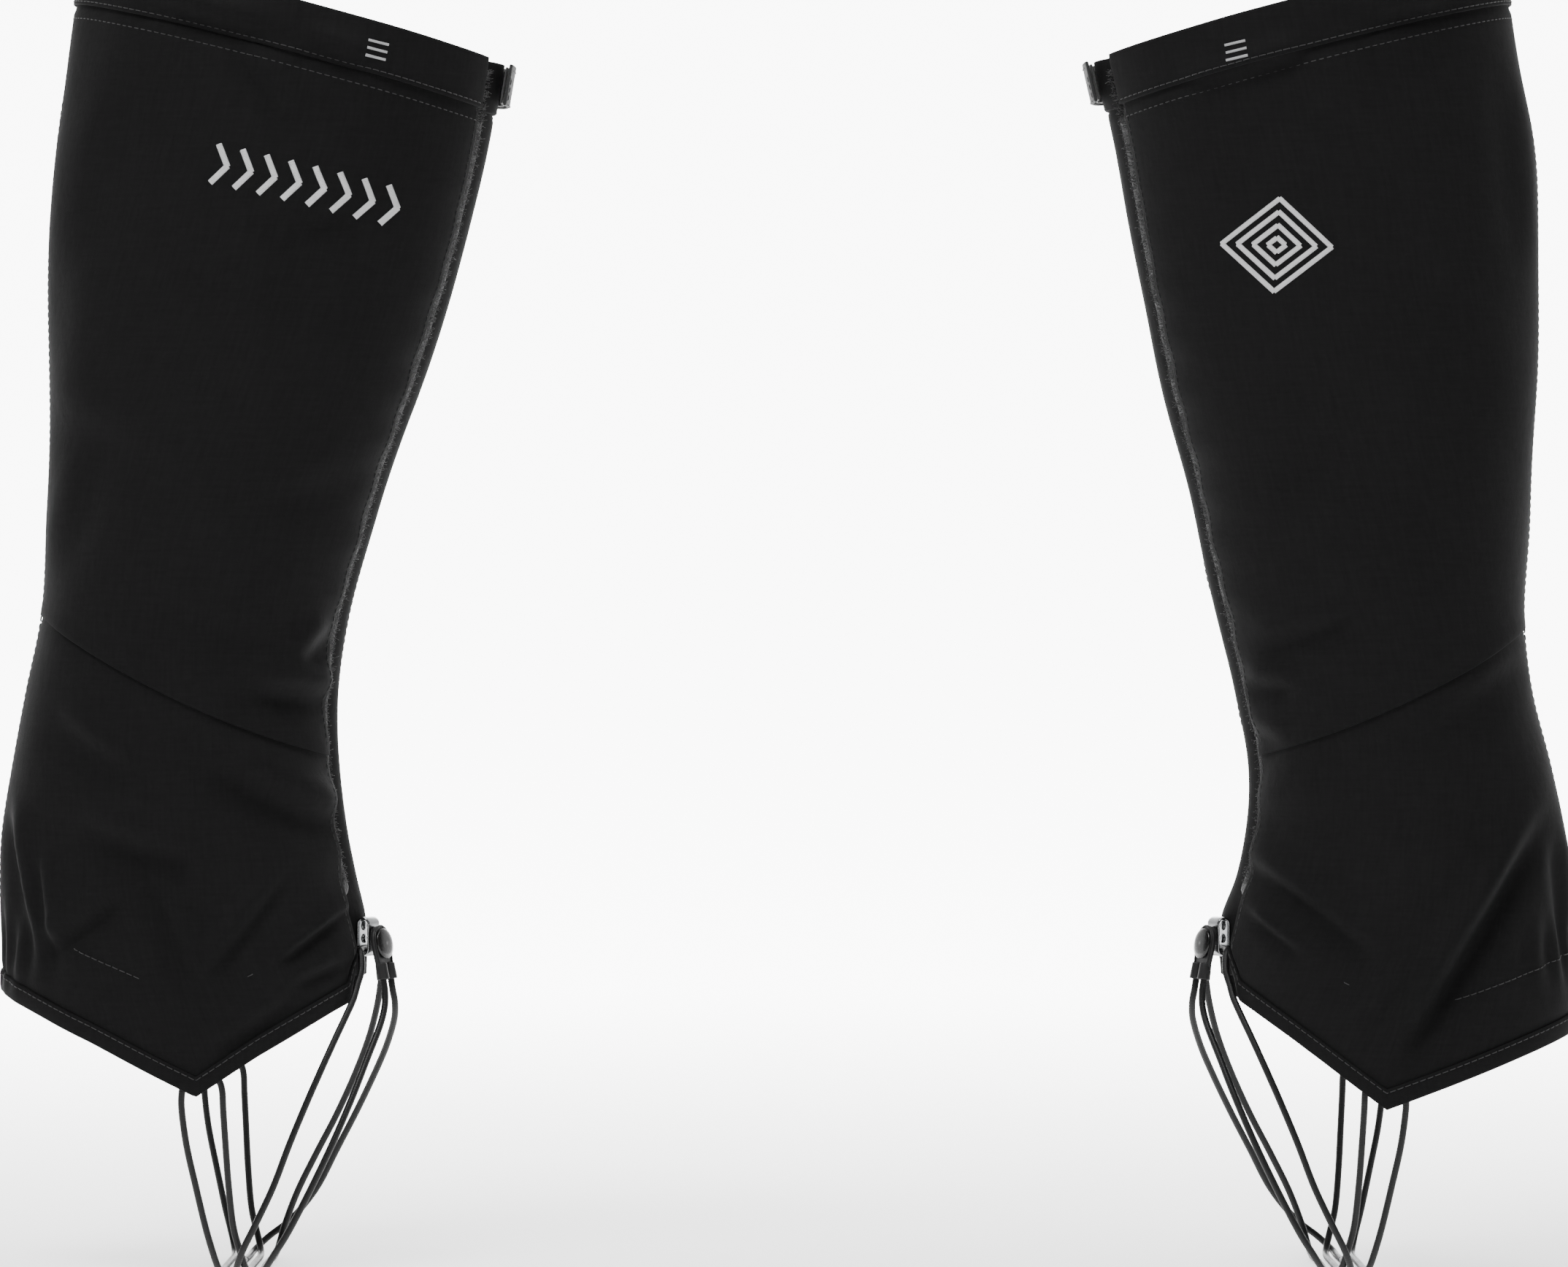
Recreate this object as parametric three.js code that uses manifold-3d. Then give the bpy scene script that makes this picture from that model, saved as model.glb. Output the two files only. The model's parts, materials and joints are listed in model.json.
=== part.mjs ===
// A pair of knee-high hiking gaiters in the shape they take when worn. Each is a wrapped leg shell of
// separate cloth panels with a hook-and-loop front flap, a cuff with a small strap, an elastic cord
// hook with a lift tab, and two elastic cords that pass under the boot.
// Millimetres, +Z up, the ground under the boots at Z = 0. The toes point at each other along X, the
// outer side of each leg faces -Y, and X = 0 is the middle of the pair.
import * as THREE from 'three';
import { mergeVertices } from 'three/addons/utils/BufferGeometryUtils.js';
import Module from 'manifold-3d';

const wasm = await Module();
wasm.setup();

// ---------------------------------------------------------------- driving dimensions
const pairSpacing = 472; // between the two ankle axes
const legHeight = 522; // ground to the cuff's highest point, at the back
const legDepth = 171; // front to back just below the cuff

const seamGap = 0.3; // between pieces that touch
const layerGap = 0.65; // between layers of cloth that bend together
const clothThickness = 1.4; // a panel with its seam allowance and coating
const cuffDepth = 21; // the folded band round the top
const cuffRise = 0.4; // how far the band stands proud of the panels
const cuffThickness = 2.2;
const hemDepth = 8; // the folded band round the bottom
const cuffSlope = 0.258; // fall of the top edge towards the shin, per unit of length
const yokeBackHeight = 260; // the seam between upper and lower panels, at the back
const yokeFrontHeight = 206; // and at the front
const yokeSag = 5;

const hookTapeThickness = 1.0;
const loopTapeThickness = 1.1;
const tapeWidth = 20;
const tapeInset = 2.5; // from the flap's edge to the hook tape
const underlapMargin = 5; // cloth beyond the loop tape
const underlapTipHeight = 116.5; // the underlap's lower end, above the ground
const underlapSeamAngle = 8; // inner side seam of the underlap, in degrees from the shin line

const strapHeight = 17;
const strapThickness = 1.4;
const strapRootAngle = -42; // where the cuff strap is sewn on, on the inner side
const strapEndAngle = 8;
const strapDrop = 1; // from the cuff's top edge to the strap
const patchThickness = 0.9;
const patchStartAngle = -22;
const loopPatchEndAngle = -4;

const elasticThickness = 1.2;
const cuffElasticWidth = 14;
const ankleElasticWidth = 10;
const ankleElasticHeight = 128; // its middle at the heel, above the ground
const ankleElasticReach = 60; // from the heel along each side
const seamTapeWidth = 18;
const seamTapeThickness = 0.6;

const foldTopX = 55.4; // the flap's fold line at the top of the leg, ahead of the ankle axis
const foldBottomX = 16; // and at the hem
const foldTopHeight = 522;
const foldBottomHeight = 66;

const cordDiameter = 2.7;
const cordClearance = 0.35; // round a cord in a loop or socket
const anchorX = 5; // the webbing loops under the ankle, ahead of the ankle axis
const anchorHeight = 80;
const anchorWidth = 7;
const anchorTape = 1.3;
const anchorTapeHeight = 16;

const hookAngle = 4; // the cord hook's place, in degrees from the shin line
const hookHeight = 133.5;
const hookWidth = 9;
const hookMetal = 1.1;
const hookPlateUp = 6.3;
const hookPlateDown = 6.8;
const hookGap = 3.6;
const hookCurlDrop = 6.5;
const hookCurlEnd = 110; // degrees that the curl turns back under the cord
const hookStandoff = 0.6; // the plate is flat and the cloth under it is curved
const rivetHeights = [2.6, -2.4]; // from the hook's middle
const rivetShankRadius = 1.0;
const rivetHeadRadius = 1.9;
const rivetHeadHeight = 0.9;
const rivetClearance = 0.3;

const tabLength = 20.5;
const tabThickness = 2.2;
const tabTopRadius = 6.4;
const tabEndHalfWidth = 4.6;
const tabLean = 10; // degrees that the tab's lower end stands forward
const tabClearance = 0.5; // between the hook and the tab at the top
const tabTopAboveHook = 2.5;
const socketSpread = 3.1; // each cord socket from the tab's middle
const socketRadius = 2.6;
const socketLength = 6.5;
const socketDepth = 4.5;
const buttonRadius = 6.1;
const buttonThickness = 1.2;
const buttonDrop = 7.4; // the button's middle below the tab's top
const buttonPostRadius = 1.4;
const buttonPostLength = 1.2;

// ---------------------------------------------------------------- worn shape
// Height, back, front and half width of the leg, ahead of the ankle axis, drawn at these two sizes.
const drawnHeight = 522;
const drawnDepth = 171;
const legOutline = {
  right: [
    [66, -78, 66, 57], [112, -80, 66, 57], [141, -80, 65.5, 56], [156, -79.6, 62, 55],
    [170, -79, 59, 54.5], [199, -75, 55.5, 54], [229, -69.5, 55.2, 54], [258, -63.4, 59, 55],
    [301, -60.6, 71, 57], [359, -60.5, 91, 60], [417, -59.6, 108, 62], [447, -57.6, 115.2, 62.5],
    [478, -53.4, 120.5, 62.5], [522, -46, 127, 62],
  ],
  left: [
    [66, -75, 66, 57], [112, -76, 66, 57], [141, -74.5, 65.5, 56], [156, -72.5, 60, 55],
    [170, -70.8, 56.8, 54.5], [199, -65.4, 55, 54], [229, -58, 60, 54], [258, -54.9, 67, 55],
    [301, -56.8, 77.6, 57], [359, -59.6, 91.3, 60], [417, -60.2, 102.2, 62],
    [447, -58.2, 108.6, 62.5], [478, -53.2, 115.6, 62.5], [522, -46, 122.5, 62],
  ],
};
// The hem falls to a point under the ankle: distance ahead of the ankle axis, height.
const hemLine = {
  right: [[-82, 112], [-39, 92.5], [3, 71.5], [27, 87], [60.5, 106.5], [64, 122]],
  left: [[-76, 96], [-25, 77.5], [5, 66.5], [26, 82], [60, 107.5], [63.5, 121]],
};
// How far the flap's edge lies behind the front of the leg, by height.
const flapInset = [[66, 3], [127, 3.2], [146, 4.5], [165, 3], [200, 2.8], [300, 3.6], [522, 5]];

// Routes of the two cords in one gaiter, as worn, ahead of the ankle axis. They stay as chosen.
// The side cord, from the outer webbing loop to the middle of the sole, and its way back.
const sideCordPoints = [
  [5.2, -50.8, 80], [3.4, -50.8, 80], [0.4, -50.8, 79.4], [-1.9, -50.7, 77], [-2.9, -50.6, 73],
  [-3, -50.2, 66], [-1.2, -48.9, 52], [2.2, -47, 36], [5.8, -45, 20], [8.6, -42.8, 9.5],
  [10.2, -38.6, 3.6], [10.8, -31, 1.6], [11, -12, 1.5],
];
const sideCordReturnPoints = [
  [21.4, -12, 1.5], [21.3, -31, 1.6], [20.8, -37.8, 3.6], [19.2, -41.2, 9.5], [16.6, -43.6, 20],
  [15, -46.4, 36], [14, -48.7, 52], [13.2, -50.2, 66], [12.9, -50.6, 73], [11.9, -50.7, 77],
  [9.6, -50.8, 79.4], [6.6, -50.8, 80], [5.8, -50.8, 80],
];
// The front cord: tab to sole on the outer side, sole to hook on the inner side, through the hook,
// hook to sole on the outer side, and sole to tab on the inner side.
const frontCordPoints = [
  [72.8, -11.6, 119], [73.4, -11.9, 115.1], [74.1, -12.6, 110], [74, -14.5, 104], [72.2, -18, 96.5],
  [68, -25, 85], [62.5, -33, 70], [55, -39.5, 52], [46.5, -43, 34], [38.2, -44.5, 18],
  [32.5, -43.2, 9], [29, -38.5, 3.6], [27.3, -31, 1.6], [26.5, -12, 1.5],
  [26.5, 12, 1.5], [27, 31, 1.6], [28, 39.5, 5], [30.5, 43, 14], [35.5, 43.3, 27], [43, 41, 42],
  [51.5, 36.5, 58], [59.5, 29.5, 75], [65.5, 21.5, 90], [69, 14.5, 102], [70.8, 9.5, 111],
  [71.6, 6.3, 118.5], [71.2, 4, 123.5], [70.4, 1.8, 126.2], [69.4, -0.4, 127],
  [67, -5.3, 127], [64.5, -10.3, 127], [64.4, -13, 126], [64.9, -14.8, 123.5],
  [65, -17.5, 118.5], [63.7, -20.2, 113.5], [62.3, -23.5, 108], [59.8, -27, 102], [56, -32, 93.5],
  [51, -37.5, 82], [45, -41.5, 68], [38.5, -44.5, 52], [32.5, -46.5, 36], [26, -48, 22],
  [21, -47.4, 12], [18.6, -44.6, 6.2], [17.4, -40, 2.6], [17, -34, 1.5], [16.6, -12, 1.5],
  [16.6, 12, 1.5], [17, 34, 1.5], [18.3, 42, 3.2], [23.5, 47, 8], [33, 47.8, 15.5], [43, 45, 28],
  [51.5, 39.5, 44], [60, 32, 60], [67.5, 22, 75], [73, 12, 87], [76.8, 1, 98], [77.6, -5, 105],
  [76.8, -6.7, 110.7], [76.1, -6.4, 115.1], [75.5, -6.1, 119],
];

// ---------------------------------------------------------------- worked-out sizes
const cordRadius = cordDiameter / 2;
const hookTapeTop = -clothThickness - layerGap;
const loopTapeTop = hookTapeTop - hookTapeThickness - layerGap;
const underlapTop = loopTapeTop - loopTapeThickness - layerGap;
const cuffUnderside = cuffRise - cuffThickness;
const strapStack = cuffRise + 2 * patchThickness + 3 * layerGap;
const heightFactor = legHeight / drawnHeight;
const depthFactor = legDepth / drawnDepth;
const hookLegX = hookMetal + hookGap; // inner face of the hook's front leg

const radians = THREE.MathUtils.degToRad;
const lerp = THREE.MathUtils.lerp;

// ---------------------------------------------------------------- colours
const cloth = { color: 0x1e1e1f, roughness: 0.9, metalness: 0 };
const webbing = { color: 0x161617, roughness: 0.85, metalness: 0 };
const hookAndLoop = { color: 0x101011, roughness: 1, metalness: 0 };
const rubber = { color: 0x2a2a2b, roughness: 0.6, metalness: 0 };
const elastic = { color: 0x141415, roughness: 0.7, metalness: 0 };
const steel = { color: 0xc4c6c8, roughness: 0.25, metalness: 1 };
const blackedSteel = { color: 0x1b1b1c, roughness: 0.35, metalness: 0.8 };

// ---------------------------------------------------------------- small helpers
// Straight lines through a table's rows, read in one column at one key of the first column.
function tableAt(table, key, column = 1) {
  const last = table.length - 1;
  let i = 0;
  while (i < last - 1 && key > table[i + 1][0]) i += 1;
  const t = THREE.MathUtils.clamp((key - table[i][0]) / (table[i + 1][0] - table[i][0]), 0, 1);
  return lerp(table[i][column], table[i + 1][column], t);
}

// A closed body's faces are turned outwards if its signed volume comes out negative.
function faceOutwards(geometry) {
  const position = geometry.getAttribute('position');
  const index = geometry.index.array;
  const [a, b, c] = [new THREE.Vector3(), new THREE.Vector3(), new THREE.Vector3()];
  let volume = 0;
  for (let i = 0; i < index.length; i += 3) {
    a.fromBufferAttribute(position, index[i]);
    b.fromBufferAttribute(position, index[i + 1]);
    c.fromBufferAttribute(position, index[i + 2]);
    volume += a.dot(b.cross(c));
  }
  if (volume < 0) {
    for (let i = 0; i < index.length; i += 3) [index[i], index[i + 1]] = [index[i + 1], index[i]];
  }
  return geometry;
}

function toSolid(geometry) {
  const bare = geometry.clone();
  bare.deleteAttribute('normal');
  bare.deleteAttribute('uv');
  const merged = mergeVertices(bare, 1e-4);
  return new wasm.Manifold(new wasm.Mesh({
    numProp: 3,
    vertProperties: Float32Array.from(merged.getAttribute('position').array),
    triVerts: Uint32Array.from(merged.index.array),
  }));
}

function toGeometry(solid) {
  const mesh = solid.getMesh();
  const geometry = new THREE.BufferGeometry();
  geometry.setAttribute('position', new THREE.BufferAttribute(mesh.vertProperties, 3));
  geometry.setIndex(new THREE.BufferAttribute(mesh.triVerts, 1));
  return geometry;
}

function piece(name, geometry, finish) {
  geometry.computeVertexNormals();
  const mesh = new THREE.Mesh(geometry, new THREE.MeshStandardMaterial(finish));
  mesh.name = name;
  return mesh;
}

// A solid of revolution about +X, from [distance along X, radius] rows that start and end on the axis.
function turned(rows, segments) {
  const profile = rows.map(([along, radius]) => new THREE.Vector2(radius, along));
  return new THREE.LatheGeometry(profile, segments).rotateZ(-Math.PI / 2);
}

// A side outline in X and Z, given its width across Y and centred on Y = 0.
function extrudedSideways(outline, width) {
  const settings = { depth: width, bevelEnabled: false, curveSegments: 6 };
  return new THREE.ExtrudeGeometry(outline, settings).rotateX(Math.PI / 2).translate(0, width / 2, 0);
}

// A cord is swept with one step to each of its chosen points, so bends have short steps.
class CordPath extends THREE.CatmullRomCurve3 {
  getPointAt(t, target) {
    return this.getPoint(t, target);
  }

  getTangentAt(t, target) {
    return this.getTangent(t, target);
  }
}

function sweptCord(points) {
  const section = new THREE.Shape();
  section.absarc(0, 0, cordRadius, 0, 2 * Math.PI);
  const steps = points.length - 1;
  const settings = { steps, extrudePath: new CordPath(points), curveSegments: 4, bevelEnabled: false };
  return faceOutwards(mergeVertices(new THREE.ExtrudeGeometry(section, settings), 1e-4));
}

// ---------------------------------------------------------------- the leg's skin
// The skin of one leg: an ellipse at each height. Angles are in degrees from the shin line, positive
// round the outer side to 180 at the back and negative round the inner side.
function legSkin(side) {
  const outline = legOutline[side];
  const hemTable = hemLine[side].map(([x, z]) => [x * depthFactor, z * heightFactor]);
  const drawn = (z) => z / heightFactor;

  function section(z) {
    const back = tableAt(outline, drawn(z), 1) * depthFactor;
    const front = tableAt(outline, drawn(z), 2) * depthFactor;
    const halfWidth = tableAt(outline, drawn(z), 3) * depthFactor;
    return { middle: (front + back) / 2, halfDepth: (front - back) / 2, halfWidth, front };
  }

  // A point on the skin, moved out along the horizontal normal by lift.
  function point(angle, z, lift) {
    const { middle, halfDepth, halfWidth } = section(z);
    const [along, across] = [Math.cos(radians(angle)), Math.sin(radians(angle))];
    const normal = new THREE.Vector2(along / halfDepth, -across / halfWidth).normalize();
    const x = middle + halfDepth * along + normal.x * lift;
    return new THREE.Vector3(x, -halfWidth * across + normal.y * lift, z);
  }

  function angleAtX(x, z) {
    const { middle, halfDepth } = section(z);
    const share = THREE.MathUtils.clamp((x - middle) / halfDepth, -1, 1);
    return THREE.MathUtils.radToDeg(Math.acos(share));
  }

  // The turn that covers a length of cloth near an angle.
  function turnFor(length, angle, z) {
    const { halfDepth, halfWidth } = section(z);
    const rate = Math.hypot(halfDepth * Math.sin(radians(angle)), halfWidth * Math.cos(radians(angle)));
    return THREE.MathUtils.radToDeg(length / rate);
  }

  const flapEdge = (z) => angleAtX(section(z).front - tableAt(flapInset, drawn(z)), z);
  const foldX = (z) => {
    const share = (drawn(z) - foldBottomHeight) / (foldTopHeight - foldBottomHeight);
    return lerp(foldBottomX, foldTopX, share) * depthFactor;
  };
  const fold = (z) => angleAtX(foldX(z), z);

  // The underlap leaves the skin on the inner side and dips under the flap by its tapes.
  function underlapLift(angle, z, top) {
    const t = THREE.MathUtils.smoothstep(angle, -3, flapEdge(z) - 2);
    return lerp(top, underlapTop, t);
  }

  const top = section(legHeight);
  const cuffTop = (x) => legHeight - cuffSlope * (x - top.middle + top.halfDepth);
  const yoke = (x) => {
    const back = -62 * depthFactor;
    const t = (x - back) / (112 * depthFactor);
    return (lerp(yokeBackHeight, yokeFrontHeight, t) - 4 * yokeSag * t * (1 - t)) * heightFactor;
  };
  const hem = (x) => tableAt(hemTable, x);

  const levels = outline.map(([z]) => z * heightFactor);

  return { levels, section, point, turnFor, flapEdge, fold, underlapLift, cuffTop, yoke, hem };
}

// A closed curved sheet between two edges given by angle and two given by height. Its rows lie at the
// outline's own levels, so that layers of cloth bend at the same heights and keep their gaps.
function sheet(skin, side, { from, to, low, high, top, bottom, columns }) {
  const mirror = side === 'right' ? 1 : -1;
  const spotOn = (i, heightFrom) => {
    let z = legHeight / 2;
    let angle = 0;
    for (let pass = 0; pass < 14; pass += 1) {
      angle = lerp(from(z), to(z), i / columns);
      z = heightFrom(skin.point(angle, z, 0).x);
    }
    return { angle, z };
  };
  let lowest = Infinity;
  let highest = -Infinity;
  for (let i = 0; i <= columns; i += 1) {
    lowest = Math.min(lowest, spotOn(i, low).z);
    highest = Math.max(highest, spotOn(i, high).z);
  }
  const levels = skin.levels.filter((z) => z > lowest + 2 && z < highest - 2);
  const rows = levels.length + 1;
  const rowHeight = (j, x) => {
    const least = (high(x) - low(x)) * 0.02;
    if (j === 0) return low(x);
    if (j === rows) return high(x);
    return THREE.MathUtils.clamp(levels[j - 1], low(x) + least * j, high(x) - least * (rows - j));
  };
  const positions = [];
  for (const lift of [top, bottom]) {
    for (let j = 0; j <= rows; j += 1) {
      for (let i = 0; i <= columns; i += 1) {
        const { angle, z } = spotOn(i, (x) => rowHeight(j, x));
        const spot = skin.point(angle, z, lift(angle, z));
        positions.push(mirror * spot.x, spot.y, spot.z);
      }
    }
  }
  const index = [];
  const layer = (columns + 1) * (rows + 1);
  const at = (i, j, k) => k * layer + j * (columns + 1) + i;
  const quad = (a, b, c, d) => index.push(a, b, c, a, c, d);
  for (let j = 0; j < rows; j += 1) {
    for (let i = 0; i < columns; i += 1) {
      quad(at(i, j, 0), at(i + 1, j, 0), at(i + 1, j + 1, 0), at(i, j + 1, 0));
      quad(at(i, j, 1), at(i, j + 1, 1), at(i + 1, j + 1, 1), at(i + 1, j, 1));
    }
    quad(at(0, j, 0), at(0, j + 1, 0), at(0, j + 1, 1), at(0, j, 1));
    quad(at(columns, j, 0), at(columns, j, 1), at(columns, j + 1, 1), at(columns, j + 1, 0));
  }
  for (let i = 0; i < columns; i += 1) {
    quad(at(i, 0, 0), at(i, 0, 1), at(i + 1, 0, 1), at(i + 1, 0, 0));
    quad(at(i, rows, 0), at(i + 1, rows, 0), at(i + 1, rows, 1), at(i, rows, 1));
  }
  const geometry = new THREE.BufferGeometry();
  geometry.setAttribute('position', new THREE.Float32BufferAttribute(positions, 3));
  geometry.setIndex(index);
  return faceOutwards(geometry);
}

// ---------------------------------------------------------------- cloth panels, bands and tapes
function clothPieces(skin, side) {
  const always = (value) => () => value;
  const half = seamGap / 2;
  const turn = (length, angle, z) => skin.turnFor(length, angle, z);

  const foldFront = (z) => skin.fold(z) - turn(half, skin.fold(z), z);
  const foldBack = (z) => skin.fold(z) + turn(half, skin.fold(z), z);
  const backOuter = (z) => 180 - turn(half, 180, z);
  const backInner = (z) => -180 + turn(half, 180, z);
  const innerSeam = (z) => -underlapSeamAngle - turn(half, 0, z);
  const underlapSeam = (z) => -underlapSeamAngle + turn(half, 0, z);
  const underlapEnd = (z) => {
    const edge = skin.flapEdge(z);
    return edge + turn(tapeInset + tapeWidth + underlapMargin, edge + 10, z);
  };
  const tapeStart = (z) => skin.flapEdge(z) + turn(tapeInset, skin.flapEdge(z), z);
  const tapeEnd = (z) => skin.flapEdge(z) + turn(tapeInset + tapeWidth, skin.flapEdge(z) + 10, z);

  const cuffLow = (x) => skin.cuffTop(x) - cuffDepth;
  const panelTop = (x) => cuffLow(x) - seamGap;
  const hemTop = (x) => skin.hem(x) + hemDepth;
  const panelLow = (x) => hemTop(x) + seamGap;
  const aboveYoke = (x) => skin.yoke(x) + half;
  const belowYoke = (x) => skin.yoke(x) - half;

  const skinFaces = { top: always(0), bottom: always(-clothThickness) };
  const cuffFaces = { top: always(cuffRise), bottom: always(cuffUnderside) };
  const heights = {
    upper: [aboveYoke, panelTop], lower: [panelLow, belowYoke],
    cuff: [cuffLow, skin.cuffTop], hem: [skin.hem, hemTop],
  };
  const faces = { upper: skinFaces, lower: skinFaces, cuff: cuffFaces, hem: skinFaces };
  const spans = {
    outer: [foldBack, backOuter, 10],
    flap: [skin.flapEdge, foldFront, 5],
    inner: [innerSeam, backInner, 16],
  };
  const suffix = { upper: 'upper_panel', lower: 'lower_panel', cuff: 'cuff', hem: 'hem_band' };
  const found = {};
  for (const [level, [low, high]] of Object.entries(heights)) {
    for (const [part, [from, to, columns]] of Object.entries(spans)) {
      if (level === 'cuff' && part === 'inner') continue;
      const name = `${side}_${part}_${suffix[level]}`;
      found[name] = sheet(skin, side, { from, to, low, high, ...faces[level], columns });
    }
  }

  // The inner half of the cuff runs on round the shin and under the flap.
  const underCuff = (angle, z) => skin.underlapLift(angle, z, cuffRise);
  found[`${side}_inner_cuff`] = sheet(skin, side, {
    from: underlapEnd, to: backInner, low: cuffLow, high: skin.cuffTop, columns: 21,
    top: underCuff, bottom: (angle, z) => underCuff(angle, z) - cuffThickness + cuffRise,
  });
  const lap = (angle, z) => skin.underlapLift(angle, z, 0);
  found[`${side}_underlap`] = sheet(skin, side, {
    from: underlapEnd, to: underlapSeam, low: always(underlapTipHeight), high: panelTop,
    top: lap, bottom: (angle, z) => lap(angle, z) - clothThickness, columns: 7,
  });
  const tapeLow = () => skin.hem(skin.section(underlapTipHeight).front) + 4;
  const tapeHigh = (x) => panelTop(x) - 4;
  for (const [name, top, thick] of [
    ['hook_tape', hookTapeTop, hookTapeThickness], ['loop_tape', loopTapeTop, loopTapeThickness],
  ]) {
    found[`${side}_${name}`] = sheet(skin, side, {
      from: tapeStart, to: tapeEnd, low: tapeLow, high: tapeHigh,
      top: always(top), bottom: always(top - thick), columns: 2,
    });
  }

  // The cuff strap is sewn on the inner side and closes over the front on its two patches.
  const strapTop = (x) => skin.cuffTop(x) - strapDrop;
  const strapLow = (x) => strapTop(x) - strapHeight;
  const strapUnderside = (angle) => {
    const t = THREE.MathUtils.smoothstep(angle, strapRootAngle + 4, patchStartAngle - 3);
    return lerp(cuffRise + layerGap, strapStack, t);
  };
  found[`${side}_cuff_strap`] = sheet(skin, side, {
    from: always(strapRootAngle), to: always(strapEndAngle), low: strapLow, high: strapTop,
    top: (angle) => strapUnderside(angle) + strapThickness, bottom: strapUnderside,
    columns: 10,
  });
  const patches = [
    ['cuff_strap_hook_patch', strapEndAngle - 1, strapStack - layerGap],
    ['cuff_loop_patch', loopPatchEndAngle, cuffRise + layerGap + patchThickness],
  ];
  for (const [name, end, top] of patches) {
    found[`${side}_${name}`] = sheet(skin, side, {
      from: always(patchStartAngle), to: always(end), columns: 4,
      low: (x) => strapLow(x) + 1, high: (x) => strapTop(x) - 1,
      top: always(top), bottom: always(top - patchThickness),
    });
  }

  // Elastics and the seam tape lie on the inside of the cloth.
  const cuffElasticTop = cuffUnderside - layerGap;
  const cuffMiddle = (x) => skin.cuffTop(x) - cuffDepth / 2;
  found[`${side}_cuff_elastic`] = sheet(skin, side, {
    from: always(95), to: always(265), columns: 9,
    low: (x) => cuffMiddle(x) - cuffElasticWidth / 2, high: (x) => cuffMiddle(x) + cuffElasticWidth / 2,
    top: always(cuffElasticTop), bottom: always(cuffElasticTop - elasticThickness),
  });
  const insideTop = -clothThickness - layerGap;
  const heelTurn = (z) => turn(ankleElasticReach, 150, z);
  const ankleLow = ankleElasticHeight * heightFactor - ankleElasticWidth / 2;
  found[`${side}_ankle_elastic`] = sheet(skin, side, {
    from: (z) => 180 - heelTurn(z), to: (z) => 180 + heelTurn(z), columns: 8,
    low: always(ankleLow), high: always(ankleLow + ankleElasticWidth),
    top: always(insideTop), bottom: always(insideTop - elasticThickness),
  });
  found[`${side}_back_seam_tape`] = sheet(skin, side, {
    from: (z) => 180 - turn(seamTapeWidth / 2, 180, z), to: (z) => 180 + turn(seamTapeWidth / 2, 180, z),
    low: always(ankleLow + ankleElasticWidth + seamGap), high: (x) => panelTop(x) - 2,
    top: always(insideTop), bottom: always(insideTop - seamTapeThickness), columns: 2,
  });
  return found;
}

// ---------------------------------------------------------------- hook, rivets, tab and button
// The hook's frame: X out of the cloth, Z up, at the middle of the plate's back face.
function hookFrame(skin, side) {
  const mirror = side === 'right' ? 1 : -1;
  const z = hookHeight * heightFactor;
  const spot = (angle) => skin.point(angle, z, skin.underlapLift(angle, z, 0));
  const spread = skin.turnFor(hookWidth / 2, hookAngle, z);
  const [inner, outer] = [spot(hookAngle - spread), spot(hookAngle + spread)];
  const out = new THREE.Vector2(inner.y - outer.y, outer.x - inner.x).normalize();
  const middle = spot(hookAngle);
  const frame = new THREE.Group();
  frame.position.set(mirror * (middle.x + out.x * hookStandoff), middle.y + out.y * hookStandoff, z);
  frame.rotation.z = Math.atan2(out.y, mirror * out.x);
  return frame;
}

// A strip bent into a hook: a plate, a bend over the top, a front leg and a curl back under the cord.
function hookOutline() {
  const bendRadius = hookGap / 2;
  const bendX = hookMetal + bendRadius;
  const bendZ = hookPlateUp - bendRadius - hookMetal;
  const curlRadius = hookGap / 2;
  const curlX = hookLegX - curlRadius;
  const end = radians(-hookCurlEnd);
  const outline = new THREE.Shape();
  outline.moveTo(0, -hookPlateDown);
  outline.lineTo(0, bendZ);
  outline.absarc(bendX, bendZ, bendRadius + hookMetal, Math.PI, 0, true);
  outline.lineTo(curlX + curlRadius + hookMetal, -hookCurlDrop);
  outline.absarc(curlX, -hookCurlDrop, curlRadius + hookMetal, 0, end, true);
  outline.absarc(curlX, -hookCurlDrop, curlRadius, end, 0, false);
  outline.lineTo(hookLegX, bendZ);
  outline.absarc(bendX, bendZ, bendRadius, 0, Math.PI, false);
  outline.lineTo(hookMetal, -hookPlateDown);
  outline.closePath();
  return outline;
}

function rivetHole(height) {
  const reach = 12;
  const hole = new THREE.CylinderGeometry(rivetShankRadius + rivetClearance,
    rivetShankRadius + rivetClearance, reach, 12);
  return hole.rotateZ(Math.PI / 2).translate(hookMetal - reach / 2, 0, height);
}

// The head lies on the plate and the set end lies behind the underlap.
function rivet(height) {
  const headBack = hookMetal + seamGap;
  const setFront = -hookStandoff - clothThickness - 0.9;
  const rows = [
    [setFront - 0.7, 0], [setFront - 0.7, rivetHeadRadius], [setFront, rivetHeadRadius],
    [setFront, rivetShankRadius], [headBack, rivetShankRadius], [headBack, rivetHeadRadius],
    [headBack + rivetHeadHeight * 0.5, rivetHeadRadius * 0.95],
    [headBack + rivetHeadHeight, rivetHeadRadius * 0.5], [headBack + rivetHeadHeight, 0],
  ];
  return turned(rows, 10).translate(0, 0, height);
}

// The tab hangs in front of the hook. Its frame has X out of the tab's back face and Z up at its top.
function tabFrame() {
  const frame = new THREE.Group();
  frame.position.set(hookLegX + hookMetal + tabClearance, 0, tabTopAboveHook);
  frame.rotation.y = radians(-tabLean);
  return frame;
}

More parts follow.
